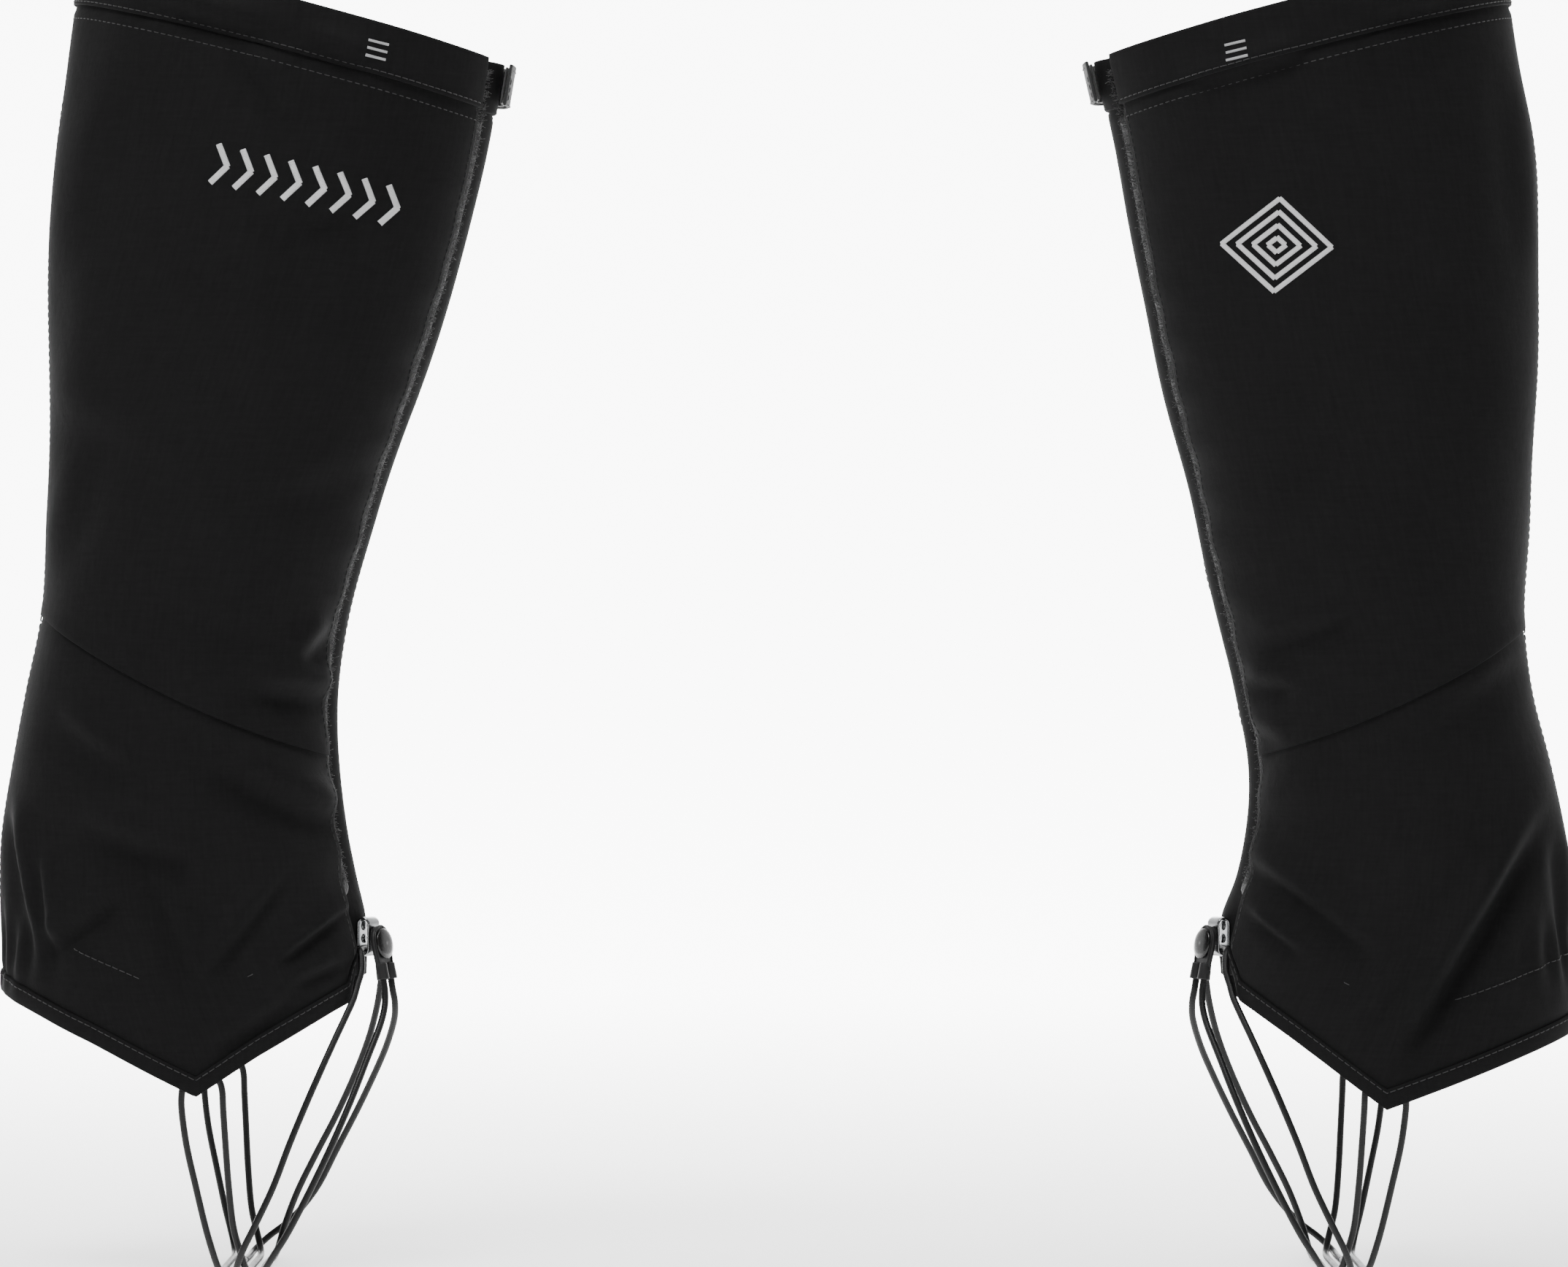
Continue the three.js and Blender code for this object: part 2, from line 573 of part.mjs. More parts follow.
function tabBody() {
  const outline = new THREE.Shape();
  const shoulder = tabTopRadius * 1.25;
  outline.absarc(0, -tabTopRadius, tabTopRadius, Math.PI, 0, true);
  outline.quadraticCurveTo(tabTopRadius, -shoulder - 3, tabEndHalfWidth, -tabLength);
  outline.lineTo(-tabEndHalfWidth, -tabLength);
  outline.quadraticCurveTo(-tabTopRadius, -shoulder - 3, -tabTopRadius, -tabTopRadius);
  const bevel = 0.5;
  const settings = {
    depth: tabThickness - 2 * bevel, bevelEnabled: true, bevelThickness: bevel, bevelSize: bevel,
    bevelOffset: -bevel, bevelSegments: 1, curveSegments: 5,
  };
  const plate = new THREE.ExtrudeGeometry(outline, settings).translate(0, 0, bevel);
  // The outline's X, Y and depth become the tab's Y, Z and X.
  const turn = new THREE.Matrix4().makeBasis(
    new THREE.Vector3(0, 1, 0), new THREE.Vector3(0, 0, 1), new THREE.Vector3(1, 0, 0));
  plate.applyMatrix4(turn);
  let solid = toSolid(plate);
  // Each cord end sits in a boss that stands below the tab's end.
  const socketX = tabThickness / 2 + 0.5;
  const mouthZ = -tabLength - 1;
  const bossZ = mouthZ + socketLength / 2;
  const boreRadius = cordRadius + cordClearance;
  for (const y of [-socketSpread, socketSpread]) {
    const boss = new THREE.CylinderGeometry(socketRadius * 0.8, socketRadius, socketLength, 12);
    boss.rotateX(Math.PI / 2).rotateY(Math.PI).translate(socketX, y, bossZ);
    solid = solid.add(toSolid(boss));
  }
  for (const y of [-socketSpread, socketSpread]) {
    const bore = new THREE.CylinderGeometry(boreRadius, boreRadius, socketDepth * 2, 12);
    solid = solid.subtract(toSolid(bore.rotateX(Math.PI / 2).translate(socketX, y, mouthZ)));
  }
  const postRadius = buttonPostRadius + seamGap;
  const post = new THREE.CylinderGeometry(postRadius, postRadius, 2 * (buttonPostLength + seamGap), 14);
  post.rotateZ(Math.PI / 2).translate(tabThickness, 0, -buttonDrop);
  return toGeometry(solid.subtract(toSolid(post)));
}

function button() {
  const back = tabThickness + seamGap;
  const front = back + buttonThickness;
  const rows = [
    [back - buttonPostLength, 0], [back - buttonPostLength, buttonPostRadius], [back, buttonPostRadius],
    [back, buttonRadius - 0.3], [back + 0.4, buttonRadius], [front - 0.4, buttonRadius],
    [front, buttonRadius - 0.6], [front, 0],
  ];
  return turned(rows, 20).translate(0, 0, -buttonDrop);
}

// ---------------------------------------------------------------- webbing loops and cords
// A webbing tape sewn inside the hem point, folded into an eye that the side cord runs through.
function cordAnchor(inner) {
  const eyeRadius = cordRadius + cordClearance;
  const outerRadius = eyeRadius + anchorTape;
  const across = inner ? 1 : -1;
  const outline = new THREE.Shape();
  const rise = Math.sqrt(outerRadius ** 2 - (outerRadius - anchorTape) ** 2);
  const startAngle = Math.atan2(rise, outerRadius - anchorTape);
  outline.moveTo(outerRadius, 0);
  outline.lineTo(outerRadius, anchorTapeHeight);
  outline.lineTo(outerRadius - anchorTape, anchorTapeHeight);
  outline.lineTo(outerRadius - anchorTape, rise);
  outline.absarc(0, 0, outerRadius, startAngle, 2 * Math.PI, false);
  const eye = new THREE.Path();
  eye.absarc(0, 0, eyeRadius, 0, 2 * Math.PI, true);
  outline.holes.push(eye);
  const settings = { depth: anchorWidth, bevelEnabled: false, curveSegments: 6 };
  const solid = new THREE.ExtrudeGeometry(outline, settings);
  // The outline's X, Y and depth become +-Y, Z and X.
  const turn = new THREE.Matrix4().makeBasis(
    new THREE.Vector3(0, across, 0), new THREE.Vector3(0, 0, 1), new THREE.Vector3(1, 0, 0));
  solid.applyMatrix4(turn).translate(-anchorWidth / 2, 0, 0);
  return faceOutwards(mergeVertices(solid, 1e-4));
}

const acrossLeg = ([x, y, z]) => [x, -y, z];

// The side cord starts in the outer webbing loop, passes under the boot, turns in the inner loop and
// comes back, so its two ends meet in the outer loop.
function sideCordRoute() {
  const down = sideCordPoints;
  const up = sideCordPoints.map(acrossLeg).reverse();
  const returnUp = sideCordReturnPoints;
  const returnDown = sideCordReturnPoints.map(acrossLeg).reverse();
  return [...down, ...up.slice(0, -1), ...returnDown.slice(1), ...returnUp];
}

function cordPieces(side) {
  const mirror = side === 'right' ? 1 : -1;
  const route = (points) => points.map(([x, y, z]) => new THREE.Vector3(mirror * x, y, z));
  return {
    [`${side}_side_cord`]: sweptCord(route(sideCordRoute())),
    [`${side}_front_cord`]: sweptCord(route(frontCordPoints)),
  };
}

// ---------------------------------------------------------------- assembly
function gaiter(side) {
  const mirror = side === 'right' ? 1 : -1;
  const skin = legSkin(side);
  const assembly = new THREE.Group();
  assembly.position.x = -mirror * pairSpacing / 2;

  const soft = clothPieces(skin, side);
  const frame = hookFrame(skin, side);
  frame.updateMatrix();
  let underlap = toSolid(soft[`${side}_underlap`]);
  for (const height of rivetHeights) {
    underlap = underlap.subtract(toSolid(rivetHole(height).applyMatrix4(frame.matrix)));
  }
  soft[`${side}_underlap`] = toGeometry(underlap);
  const tapes = new Set(['hook_tape', 'loop_tape', 'cuff_strap_hook_patch', 'cuff_loop_patch']);
  const elastics = new Set(['cuff_elastic', 'ankle_elastic']);
  for (const [name, geometry] of Object.entries(soft)) {
    const bare = name.slice(side.length + 1);
    const finish = (tapes.has(bare) && hookAndLoop) || (elastics.has(bare) && elastic) || cloth;
    assembly.add(piece(name, geometry, finish));
  }

  let hook = toSolid(extrudedSideways(hookOutline(), hookWidth));
  for (const height of rivetHeights) hook = hook.subtract(toSolid(rivetHole(height)));
  frame.add(piece(`${side}_cord_hook`, toGeometry(hook), steel));
  frame.add(piece(`${side}_upper_rivet`, rivet(rivetHeights[0]), steel));
  frame.add(piece(`${side}_lower_rivet`, rivet(rivetHeights[1]), steel));
  const tab = tabFrame();
  tab.add(piece(`${side}_pull_tab`, tabBody(), rubber));
  tab.add(piece(`${side}_tab_button`, button(), blackedSteel));
  frame.add(tab);
  assembly.add(frame);

  for (const [name, inner] of [['outer', false], ['inner', true]]) {
    const anchor = piece(`${side}_${name}_cord_anchor`, cordAnchor(inner), webbing);
    const across = inner ? 1 : -1;
    anchor.position.set(mirror * anchorX, across * -sideCordPoints[0][1], anchorHeight);
    assembly.add(anchor);
  }
  for (const [name, geometry] of Object.entries(cordPieces(side))) {
    assembly.add(piece(name, geometry, elastic));
  }
  return assembly;
}

const gaiters = new THREE.Group();
for (const side of ['right', 'left']) gaiters.add(gaiter(side));

export default gaiters;
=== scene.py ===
import json
import math
import bpy
import mathutils
import numpy as np
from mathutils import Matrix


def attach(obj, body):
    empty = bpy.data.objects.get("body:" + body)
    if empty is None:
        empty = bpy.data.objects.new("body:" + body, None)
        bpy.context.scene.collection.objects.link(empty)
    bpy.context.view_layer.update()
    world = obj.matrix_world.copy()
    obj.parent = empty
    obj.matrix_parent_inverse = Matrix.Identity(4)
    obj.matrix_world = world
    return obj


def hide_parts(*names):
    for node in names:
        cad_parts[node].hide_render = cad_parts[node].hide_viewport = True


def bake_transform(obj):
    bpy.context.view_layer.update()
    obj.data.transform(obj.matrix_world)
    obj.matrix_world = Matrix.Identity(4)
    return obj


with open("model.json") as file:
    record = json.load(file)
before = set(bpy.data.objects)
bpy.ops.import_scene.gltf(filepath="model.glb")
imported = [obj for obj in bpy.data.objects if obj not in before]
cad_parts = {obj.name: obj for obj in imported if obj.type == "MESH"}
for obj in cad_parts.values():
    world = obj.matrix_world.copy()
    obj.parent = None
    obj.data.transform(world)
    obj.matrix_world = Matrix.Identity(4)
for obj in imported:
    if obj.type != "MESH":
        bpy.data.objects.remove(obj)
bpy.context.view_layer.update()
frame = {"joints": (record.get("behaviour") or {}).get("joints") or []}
mm = 0.001
joints = {joint["name"]: joint for joint in frame["joints"]}
print("frame loaded")

# camera: level, square on to the outer sides of both gaiters
view = {"centre": (-0.0038, 0.0, 0.2523), "width": 0.6244, "lens": 150.0, "sensor": 36.0}
cameraData = bpy.data.cameras.new("camera")
cameraData.lens = view["lens"]
cameraData.sensor_width = view["sensor"]
camera = bpy.data.objects.new("camera", cameraData)
distance = view["width"] * view["lens"] / view["sensor"]
camera.location = (view["centre"][0], -distance, view["centre"][2])
camera.rotation_euler = (math.pi / 2, 0, 0)
bpy.context.scene.collection.objects.link(camera)
bpy.context.scene.camera = camera


# shader helpers
class Wire:
    # a value on its way through a material; arithmetic on it adds Math nodes
    def __init__(self, finish, socket):
        self.finish = finish
        self.socket = socket

    def math(self, operation, *values):
        return self.finish.add("ShaderNodeMath", {"operation": operation}, dict(enumerate(values)))

    def __add__(self, other):
        return self.math("ADD", self, other)

    def __mul__(self, other):
        return self.math("MULTIPLY", self, other)

    def __sub__(self, other):
        return self.math("SUBTRACT", self, other)

    def __rsub__(self, other):
        return self.math("SUBTRACT", other, self)

    def __gt__(self, other):
        return self.math("GREATER_THAN", self, other)

    __radd__ = __add__
    __rmul__ = __mul__

    def sine(self):
        return self.math("SINE", self)

    def size(self):
        return self.math("ABSOLUTE", self)

    def turns(self, length):
        # an angle that goes once round in each such length
        return self * (2 * math.pi / length)


class Finish:
    # a material whose nodes are added one by one; add() takes a node's type, settings and inputs
    def __init__(self, name):
        self.material = bpy.data.materials.new(name)
        self.material.use_nodes = True
        self.tree = self.material.node_tree
        self.tree.nodes.clear()

    def add(self, kind, settings=None, inputs=None, output=0):
        node = self.tree.nodes.new(kind)
        for key, value in (settings or {}).items():
            setattr(node, key, value)
        for key, value in (inputs or {}).items():
            if isinstance(value, Wire):
                self.tree.links.new(value.socket, node.inputs[key])
            else:
                node.inputs[key].default_value = value
        return Wire(self, node.outputs[output]) if node.outputs else None

    def uv(self):
        # the piece's own map, in metres along and up the cloth
        return self.add("ShaderNodeUVMap", {"uv_map": "UVMap"})

    def place(self):
        # a point's place in the object, in metres
        return self.add("ShaderNodeTexCoord", output=3)

    def stretched(self, vector, scale, turn=(0, 0, 0)):
        # a place turned and scaled, so that noise on it comes out drawn out one way
        return self.add("ShaderNodeMapping", {}, {"Vector": vector, "Rotation": turn, "Scale": scale})

    def split(self, vector):
        # the three parts of a vector
        node = self.add("ShaderNodeSeparateXYZ", inputs={0: vector}).socket.node
        return [Wire(self, node.outputs[k]) for k in range(3)]

    def noise(self, vector, scale, detail=3.0, rough=0.55):
        return self.add(
            "ShaderNodeTexNoise", {},
            {"Vector": vector, "Scale": scale, "Detail": detail, "Roughness": rough})

    def tint(self, factor, dark, light):
        # a colour between two, by factor
        inputs = {0: factor, 6: (*dark, 1), 7: (*light, 1)}
        return self.add("ShaderNodeMix", {"data_type": "RGBA"}, inputs, output=2)

    def bump(self, height, depth, strength=1.0, under=None):
        # a normal tilted by a height, on top of another normal where one is given
        inputs = {"Height": height, "Distance": depth, "Strength": strength}
        if under is not None:
            inputs["Normal"] = under
        return self.add("ShaderNodeBump", {}, inputs)

    def surface(self, **sockets):
        # the finished material; a socket's name is written with _ for its spaces
        inputs = {key.replace("_", " "): value for key, value in sockets.items()}
        shader = self.add("ShaderNodeBsdfPrincipled", {}, inputs)
        self.add("ShaderNodeOutputMaterial", {}, {"Surface": shader})
        return self.material


# materials
clothLook = {
    "dark": (0.0030, 0.0030, 0.0031), "light": (0.0092, 0.0092, 0.0094), "thread": 0.00042,
    "slub": (700, 60, 1), "slubAcross": (60, 700, 1), "broad": 22.0, "crumple": 160.0,
    "lint": 0.035, "lintGrain": 900.0, "lintAbove": 0.765, "sheen": 0.02, "specular": 0.07,
}


def clothFinish():
    # plain weave: threads over and under as two crossed sine waves, with slubs, crumple and a little lint
    look = clothLook
    f = Finish("black_cloth")
    uv = f.uv()
    u, v, _ = f.split(uv)
    weave = u.turns(look["thread"]).sine() * v.turns(look["thread"]).sine() * 0.5 + 0.5
    slub = f.noise(f.stretched(uv, look["slub"]), 1.0, 2.0)
    slubAcross = f.noise(f.stretched(uv, look["slubAcross"]), 1.0, 2.0)
    broad = f.noise(f.place(), look["broad"], 4.0)
    crumple = f.noise(f.place(), look["crumple"], 5.0, 0.6)
    lint = (f.noise(f.place(), look["lintGrain"], 2.0) > look["lintAbove"]) * look["lint"]
    shade = weave * 0.22 + slub * 0.45 + slubAcross * 0.35 + broad * 0.5 - 0.25 + lint * 8
    rough = broad * 0.16 + 0.74
    normal = f.bump(crumple, 0.0005, 0.55)
    normal = f.bump(weave * 0.5 + slub * 0.35 + slubAcross * 0.35, 0.0001, 0.7, normal)
    return f.surface(
        Base_Color=f.tint(shade, look["dark"], look["light"]), Roughness=rough, Normal=normal,
        Sheen_Weight=look["sheen"], Sheen_Roughness=0.4, Specular_IOR_Level=look["specular"])


webbingLook = {
    "dark": (0.006, 0.006, 0.0063), "light": (0.016, 0.016, 0.0166), "rib": 0.0011, "pick": 0.0007,
    "wear": 130.0, "sheen": 0.12, "specular": 0.35,
}


def webbingFinish():
    # ribbed tape: ribs along its length crossed by finer picks, like rows of small Vs
    look = webbingLook
    f = Finish("black_webbing")
    u, v, _ = f.split(f.uv())
    rib = v.turns(look["rib"]).sine()
    pick = (u.turns(look["pick"]) + rib * 1.4).sine()
    weave = pick * 0.3 + rib * 0.2 + 0.5
    wear = f.noise(f.place(), look["wear"], 4.0)
    normal = f.bump(weave, 0.00022, 0.8)
    return f.surface(
        Base_Color=f.tint(weave * 0.6 + wear * 0.4, look["dark"], look["light"]),
        Roughness=wear * 0.2 + 0.62, Normal=normal,
        Sheen_Weight=look["sheen"], Sheen_Roughness=0.5, Specular_IOR_Level=look["specular"])


fuzzLook = {
    "dark": (0.0020, 0.0020, 0.0021), "light": (0.0105, 0.0105, 0.0108), "speck": 1400.0, "grain": 420.0,
    "sheen": 0.25, "specular": 0.4,
}


def fuzzFinish():
    # near-black nylon: speckled by noise, very rough on the tape and a little shiny on each bristle
    look = fuzzLook
    f = Finish("hook_and_loop_fuzz")
    speck = f.noise(f.place(), look["speck"], 2.0)
    grain = f.noise(f.place(), look["grain"], 3.0)
    normal = f.bump(speck, 0.0004, 1.0)
    return f.surface(
        Base_Color=f.tint(grain, look["dark"], look["light"]), Roughness=speck * 0.35 + 0.5,
        Normal=normal, Sheen_Weight=look["sheen"], Sheen_Roughness=0.6,
        Specular_IOR_Level=look["specular"])


def threadFinish(name, dark, light, twist, rough):
    # plied thread: a sine of its length and of the turn round it, so that the plies run on a slant
    f = Finish(name)
    u, v, _ = f.split(f.uv())
    ply = (v.turns(twist) + u.turns(twist * 0.8)).sine() * 0.5 + 0.5
    patch = f.noise(f.place(), 300.0, 3.0)
    return f.surface(
        Base_Color=f.tint(ply * 0.45 + patch * 0.55, dark, light), Roughness=patch * 0.2 + rough,
        Normal=f.bump(ply, 0.00006, 0.7), Sheen_Weight=0.15, Sheen_Roughness=0.4)


cordLook = {
    "dark": (0.0022, 0.0022, 0.0023), "light": (0.0065, 0.0065, 0.0067), "around": 0.00106, "along": 0.0022,
    "wear": 90.0, "specular": 0.28,
}


def cordFinish():
    # braided cover: two crossed diagonal waves round and along the cord, worn smooth and a little shiny
    look = cordLook
    f = Finish("elastic_cord")
    u, v, _ = f.split(f.uv())
    around = u.turns(look["around"])
    along = v.turns(look["along"])
    braid = (around + along).sine() * (around - along).sine() * 0.5 + 0.5
    wear = f.noise(f.place(), look["wear"], 3.0)
    return f.surface(
        Base_Color=f.tint(braid * 0.5 + wear * 0.5, look["dark"], look["light"]),
        Roughness=wear * 0.2 + 0.36, Normal=f.bump(braid, 0.00012, 0.6), Specular_IOR_Level=look["specular"])


elasticLook = {
    "dark": (0.008, 0.008, 0.0083), "light": (0.02, 0.02, 0.0205), "rib": 0.0014, "crimp": 0.0009,
    "dust": 200.0, "sheen": 0.1,
}


def elasticFinish():
    # narrow elastic: fine ribs along its length and crimped picks across
    look = elasticLook
    f = Finish("woven_elastic")
    u, v, _ = f.split(f.uv())
    rib = v.turns(look["rib"]).sine() * 0.5 + 0.5
    crimp = u.turns(look["crimp"]).sine() * 0.5 + 0.5
    dust = f.noise(f.place(), look["dust"], 3.0)
    return f.surface(
        Base_Color=f.tint(rib * 0.5 + dust * 0.5, look["dark"], look["light"]), Roughness=dust * 0.2 + 0.6,
        Normal=f.bump(rib * 0.7 + crimp * 0.3, 0.00025, 0.8), Sheen_Weight=look["sheen"])


steelLook = {
    "dark": (0.24, 0.245, 0.25), "light": (0.40, 0.405, 0.41), "drawn": (150, 150, 2600), "dull": 320.0,
    "scratch": (300, 6000, 300), "scratchTurn": (0.4, 0.9, 0.2),
}


def steelFinish():
    # bright plating: faint drawn lines across the strip, small dulled patches and fine scratches
    look = steelLook
    f = Finish("plated_steel")
    place = f.place()
    drawn = f.noise(f.stretched(place, look["drawn"]), 1.0, 2.0)
    dull = f.noise(place, look["dull"], 4.0)
    scratch = f.noise(f.stretched(place, look["scratch"], look["scratchTurn"]), 1.0, 1.0)
    return f.surface(
        Base_Color=f.tint(dull, look["dark"], look["light"]), Metallic=1.0,
        Roughness=dull * 0.16 + drawn * 0.06 + 0.1,
        Normal=f.bump(drawn * 0.5 + scratch * 0.5, 0.00001, 0.2))


rubberLook = {
    "dark": (0.005, 0.005, 0.0052), "light": (0.014, 0.014, 0.0144), "grain": 2400.0, "rubbed": 210.0,
    "specular": 0.3,
}


def rubberFinish():
    # fine moulded grain with rubbed, slightly paler areas
    look = rubberLook
    f = Finish("moulded_rubber")
    place = f.place()
    grain = f.noise(place, look["grain"], 2.0)
    rubbed = f.noise(place, look["rubbed"], 4.0)
    return f.surface(
        Base_Color=f.tint(rubbed, look["dark"], look["light"]), Roughness=rubbed * 0.25 + 0.36,
        Normal=f.bump(grain, 0.00008, 0.5), Specular_IOR_Level=look["specular"])


buttonLook = {
    "dark": (0.006, 0.006, 0.0062), "light": (0.013, 0.0128, 0.0125), "marks": (400, 5200, 400),
    "marksTurn": (0.2, 0.5, 0.9), "cloud": 260.0, "metallic": 0.6, "coat": 0.3,
}


def buttonFinish():
    # lacquered cap: hard gloss with hair marks and a slightly browner rubbed crown
    look = buttonLook
    f = Finish("black_lacquer")
    place = f.place()
    marks = f.noise(f.stretched(place, look["marks"], look["marksTurn"]), 1.0, 2.0)
    cloud = f.noise(place, look["cloud"], 3.0)
    return f.surface(
        Base_Color=f.tint(cloud, look["dark"], look["light"]), Metallic=look["metallic"],
        Roughness=marks * 0.2 + cloud * 0.12 + 0.12, Normal=f.bump(marks, 0.00002, 0.3),
        Coat_Weight=look["coat"], Coat_Roughness=0.12)


finishes = {
    "cloth": clothFinish(),
    "webbing": webbingFinish(),
    "hook_and_loop": fuzzFinish(),
    "elastic": elasticFinish(),
    "cord": cordFinish(),
    "steel": steelFinish(),
    "moulded_rubber": rubberFinish(),
    "blackened_metal": buttonFinish(),
    "seam_thread": threadFinish(
        "seam_thread", (0.0045, 0.0045, 0.0047), (0.0105, 0.0105, 0.0108), 0.0005, 0.55),
    "embroidery_thread": threadFinish(
        "embroidery_thread", (0.40, 0.40, 0.405), (0.68, 0.68, 0.685), 0.0006, 0.42),
    "print": threadFinish("pale_print", (0.30, 0.30, 0.305), (0.40, 0.40, 0.405), 0.0007, 0.6),
}
# finishes that count as one of the frame's material slots under another name
print("materials made")

# worn shape, in millimetres: height, back, front and half width of the leg, ahead of the ankle axis
pairSpacing = 472.0
legShape = {
    "right": [
        [66, -78, 66, 57], [112, -80, 66, 57], [141, -80, 65.5, 56], [156, -79.6, 62, 55],
        [170, -79, 59, 54.5],
        [199, -75, 55.5, 54], [229, -69.5, 55.2, 54], [258, -63.4, 59, 55], [301, -60.6, 71, 57],
        [359, -60.5, 91, 60], [417, -59.6, 108, 62], [447, -57.6, 115.2, 62.5], [478, -53.4, 120.5, 62.5],
        [522, -46, 127, 62]],
    "left": [
        [66, -75, 66, 57], [112, -76, 66, 57], [141, -74.5, 65.5, 56], [156, -72.5, 60, 55],
        [170, -70.8, 56.8, 54.5],
        [199, -65.4, 55, 54], [229, -58, 60, 54], [258, -54.9, 67, 55], [301, -56.8, 77.6, 57],
        [359, -59.6, 91.3, 60], [417, -60.2, 102.2, 62], [447, -58.2, 108.6, 62.5],
        [478, -53.2, 115.6, 62.5],
        [522, -46, 122.5, 62]],
}
hemLine = {
    "right": [[-82, 112], [-39, 92.5], [3, 71.5], [27, 87], [60.5, 106.5], [64, 122]],
    "left": [[-76, 96], [-25, 77.5], [5, 66.5], [26, 82], [60, 107.5], [63.5, 121]],
}
flapInset = [[66, 3], [127, 3.2], [146, 4.5], [165, 3], [200, 2.8], [300, 3.6], [522, 5]]
cut = {
    "cuffTop": 522, "cuffSlope": 0.258, "cuffDepth": 21, "secondRow": 26.5, "hemDepth": 8,
    "yokeBack": 260, "yokeFront": 206, "yokeSag": 5, "underlapTip": 116.5, "underlapSeam": 8,
    "tapeInset": 2.5, "tapeWidth": 20, "underlapMargin": 5, "foldBottom": (16, 66), "foldTop": (55.4, 522),
}
# how much the worn cloth leaves the even skin: see relief
wear = {
    "foldDepth": 2.5, "foldReach": 0.55, "heelHeight": 128, "heelPleat": 1.1, "heelDraw": 1.5,
    "cuffPleat": 0.8, "cuffDraw": 0.3, "pucker": 0.45, "slowPucker": 0.3, "underlapDrop": 5.2,
}
# broad folds on the outer side: ahead of the ankle axis, height, length, half width, slope in degrees, depth
wornFolds = {
    "right": [
        (-36, 208, 34, 6, -35, 1.0), (30, 192, 52, 6, -27, 1.5), (-19, 171, 42, 7, -15, 1.6),
        (-68, 156, 46, 4, -80, 1.5),
        (-57, 146, 34, 3, -82, 1.3), (-41, 141, 34, 4, 34, 1.2), (-5, 137, 42, 4, -68, 1.0),
        (22, 139, 42, 3.5, 52, 0.9),
        (49, 135, 30, 2, 37, 0.8), (20, 98, 46, 4, 32, 0.8), (48, 249, 16, 4, 50, 0.8),
        (40, 231, 32, 5, -6, 1.1),
        (10, 492, 42, 4.5, -14, 1.3), (58, 479, 22, 4, -20, 1.0), (30, 465, 30, 3.5, -58, 0.9),
        (48, 414, 36, 6, 20, 0.7),
        (38, 310, 40, 8, 14, 0.6), (-28, 330, 60, 9, -24, 0.5), (4, 262, 50, 8, -20, 0.6),
        (-40, 430, 60, 8, 76, 0.6),
        (52, 121, 26, 2.5, 22, 0.6), (-48, 300, 40, 6, 70, 0.5)],
    "left": [
        (-26, 132, 92, 5, -58, 2.0), (31, 144.5, 48, 4, 38, 1.3), (47, 135, 22, 2.5, 39, 0.8),
        (35, 255, 34, 4.5, -19, 1.0),
        (48, 233, 14, 3.5, 0, 0.8), (38, 184, 24, 7, -8, 0.6), (-70, 152, 34, 3.5, 82, 1.2),
        (-50, 435, 66, 6, 84, 0.45),
        (-3, 496, 32, 5, -10, 0.9), (49, 475, 20, 4, -16, 0.9), (69, 469, 22, 4, -10, 0.7),
        (20, 330, 60, 9, -16, 0.5),
        (-30, 230, 50, 7, -38, 0.6), (52, 214, 16, 4, 20, 0.6), (-20, 380, 70, 9, 62, 0.45),
        (4, 110, 36, 4, -50, 0.6)],
}


def smoothTable(rows, key):
    # cubic curves through a table's rows, all columns at once
    rows = np.asarray(rows, float)
    place, values = rows[:, 0], rows[:, 1:]
    slopes = np.gradient(values, place, axis=0)
    key = np.clip(key, place[0], place[-1])
    i = np.clip(np.searchsorted(place, key) - 1, 0, len(place) - 2)
    width = (place[i + 1] - place[i])[..., None]
    t = (key - place[i])[..., None] / width
    a, b = values[i], values[i + 1]
    sa, sb = slopes[i] * width, slopes[i + 1] * width
    fromA = a * (1 - t) ** 2 * (1 + 2 * t) + sa * t * (1 - t) ** 2
    return fromA + b * t ** 2 * (3 - 2 * t) - sb * t ** 2 * (1 - t)


def smoothStep(low, high, value):
    # 0 at low and 1 at high, with no slope at either
    t = np.clip((value - low) / (high - low), 0, 1)
    return t * t * (3 - 2 * t)


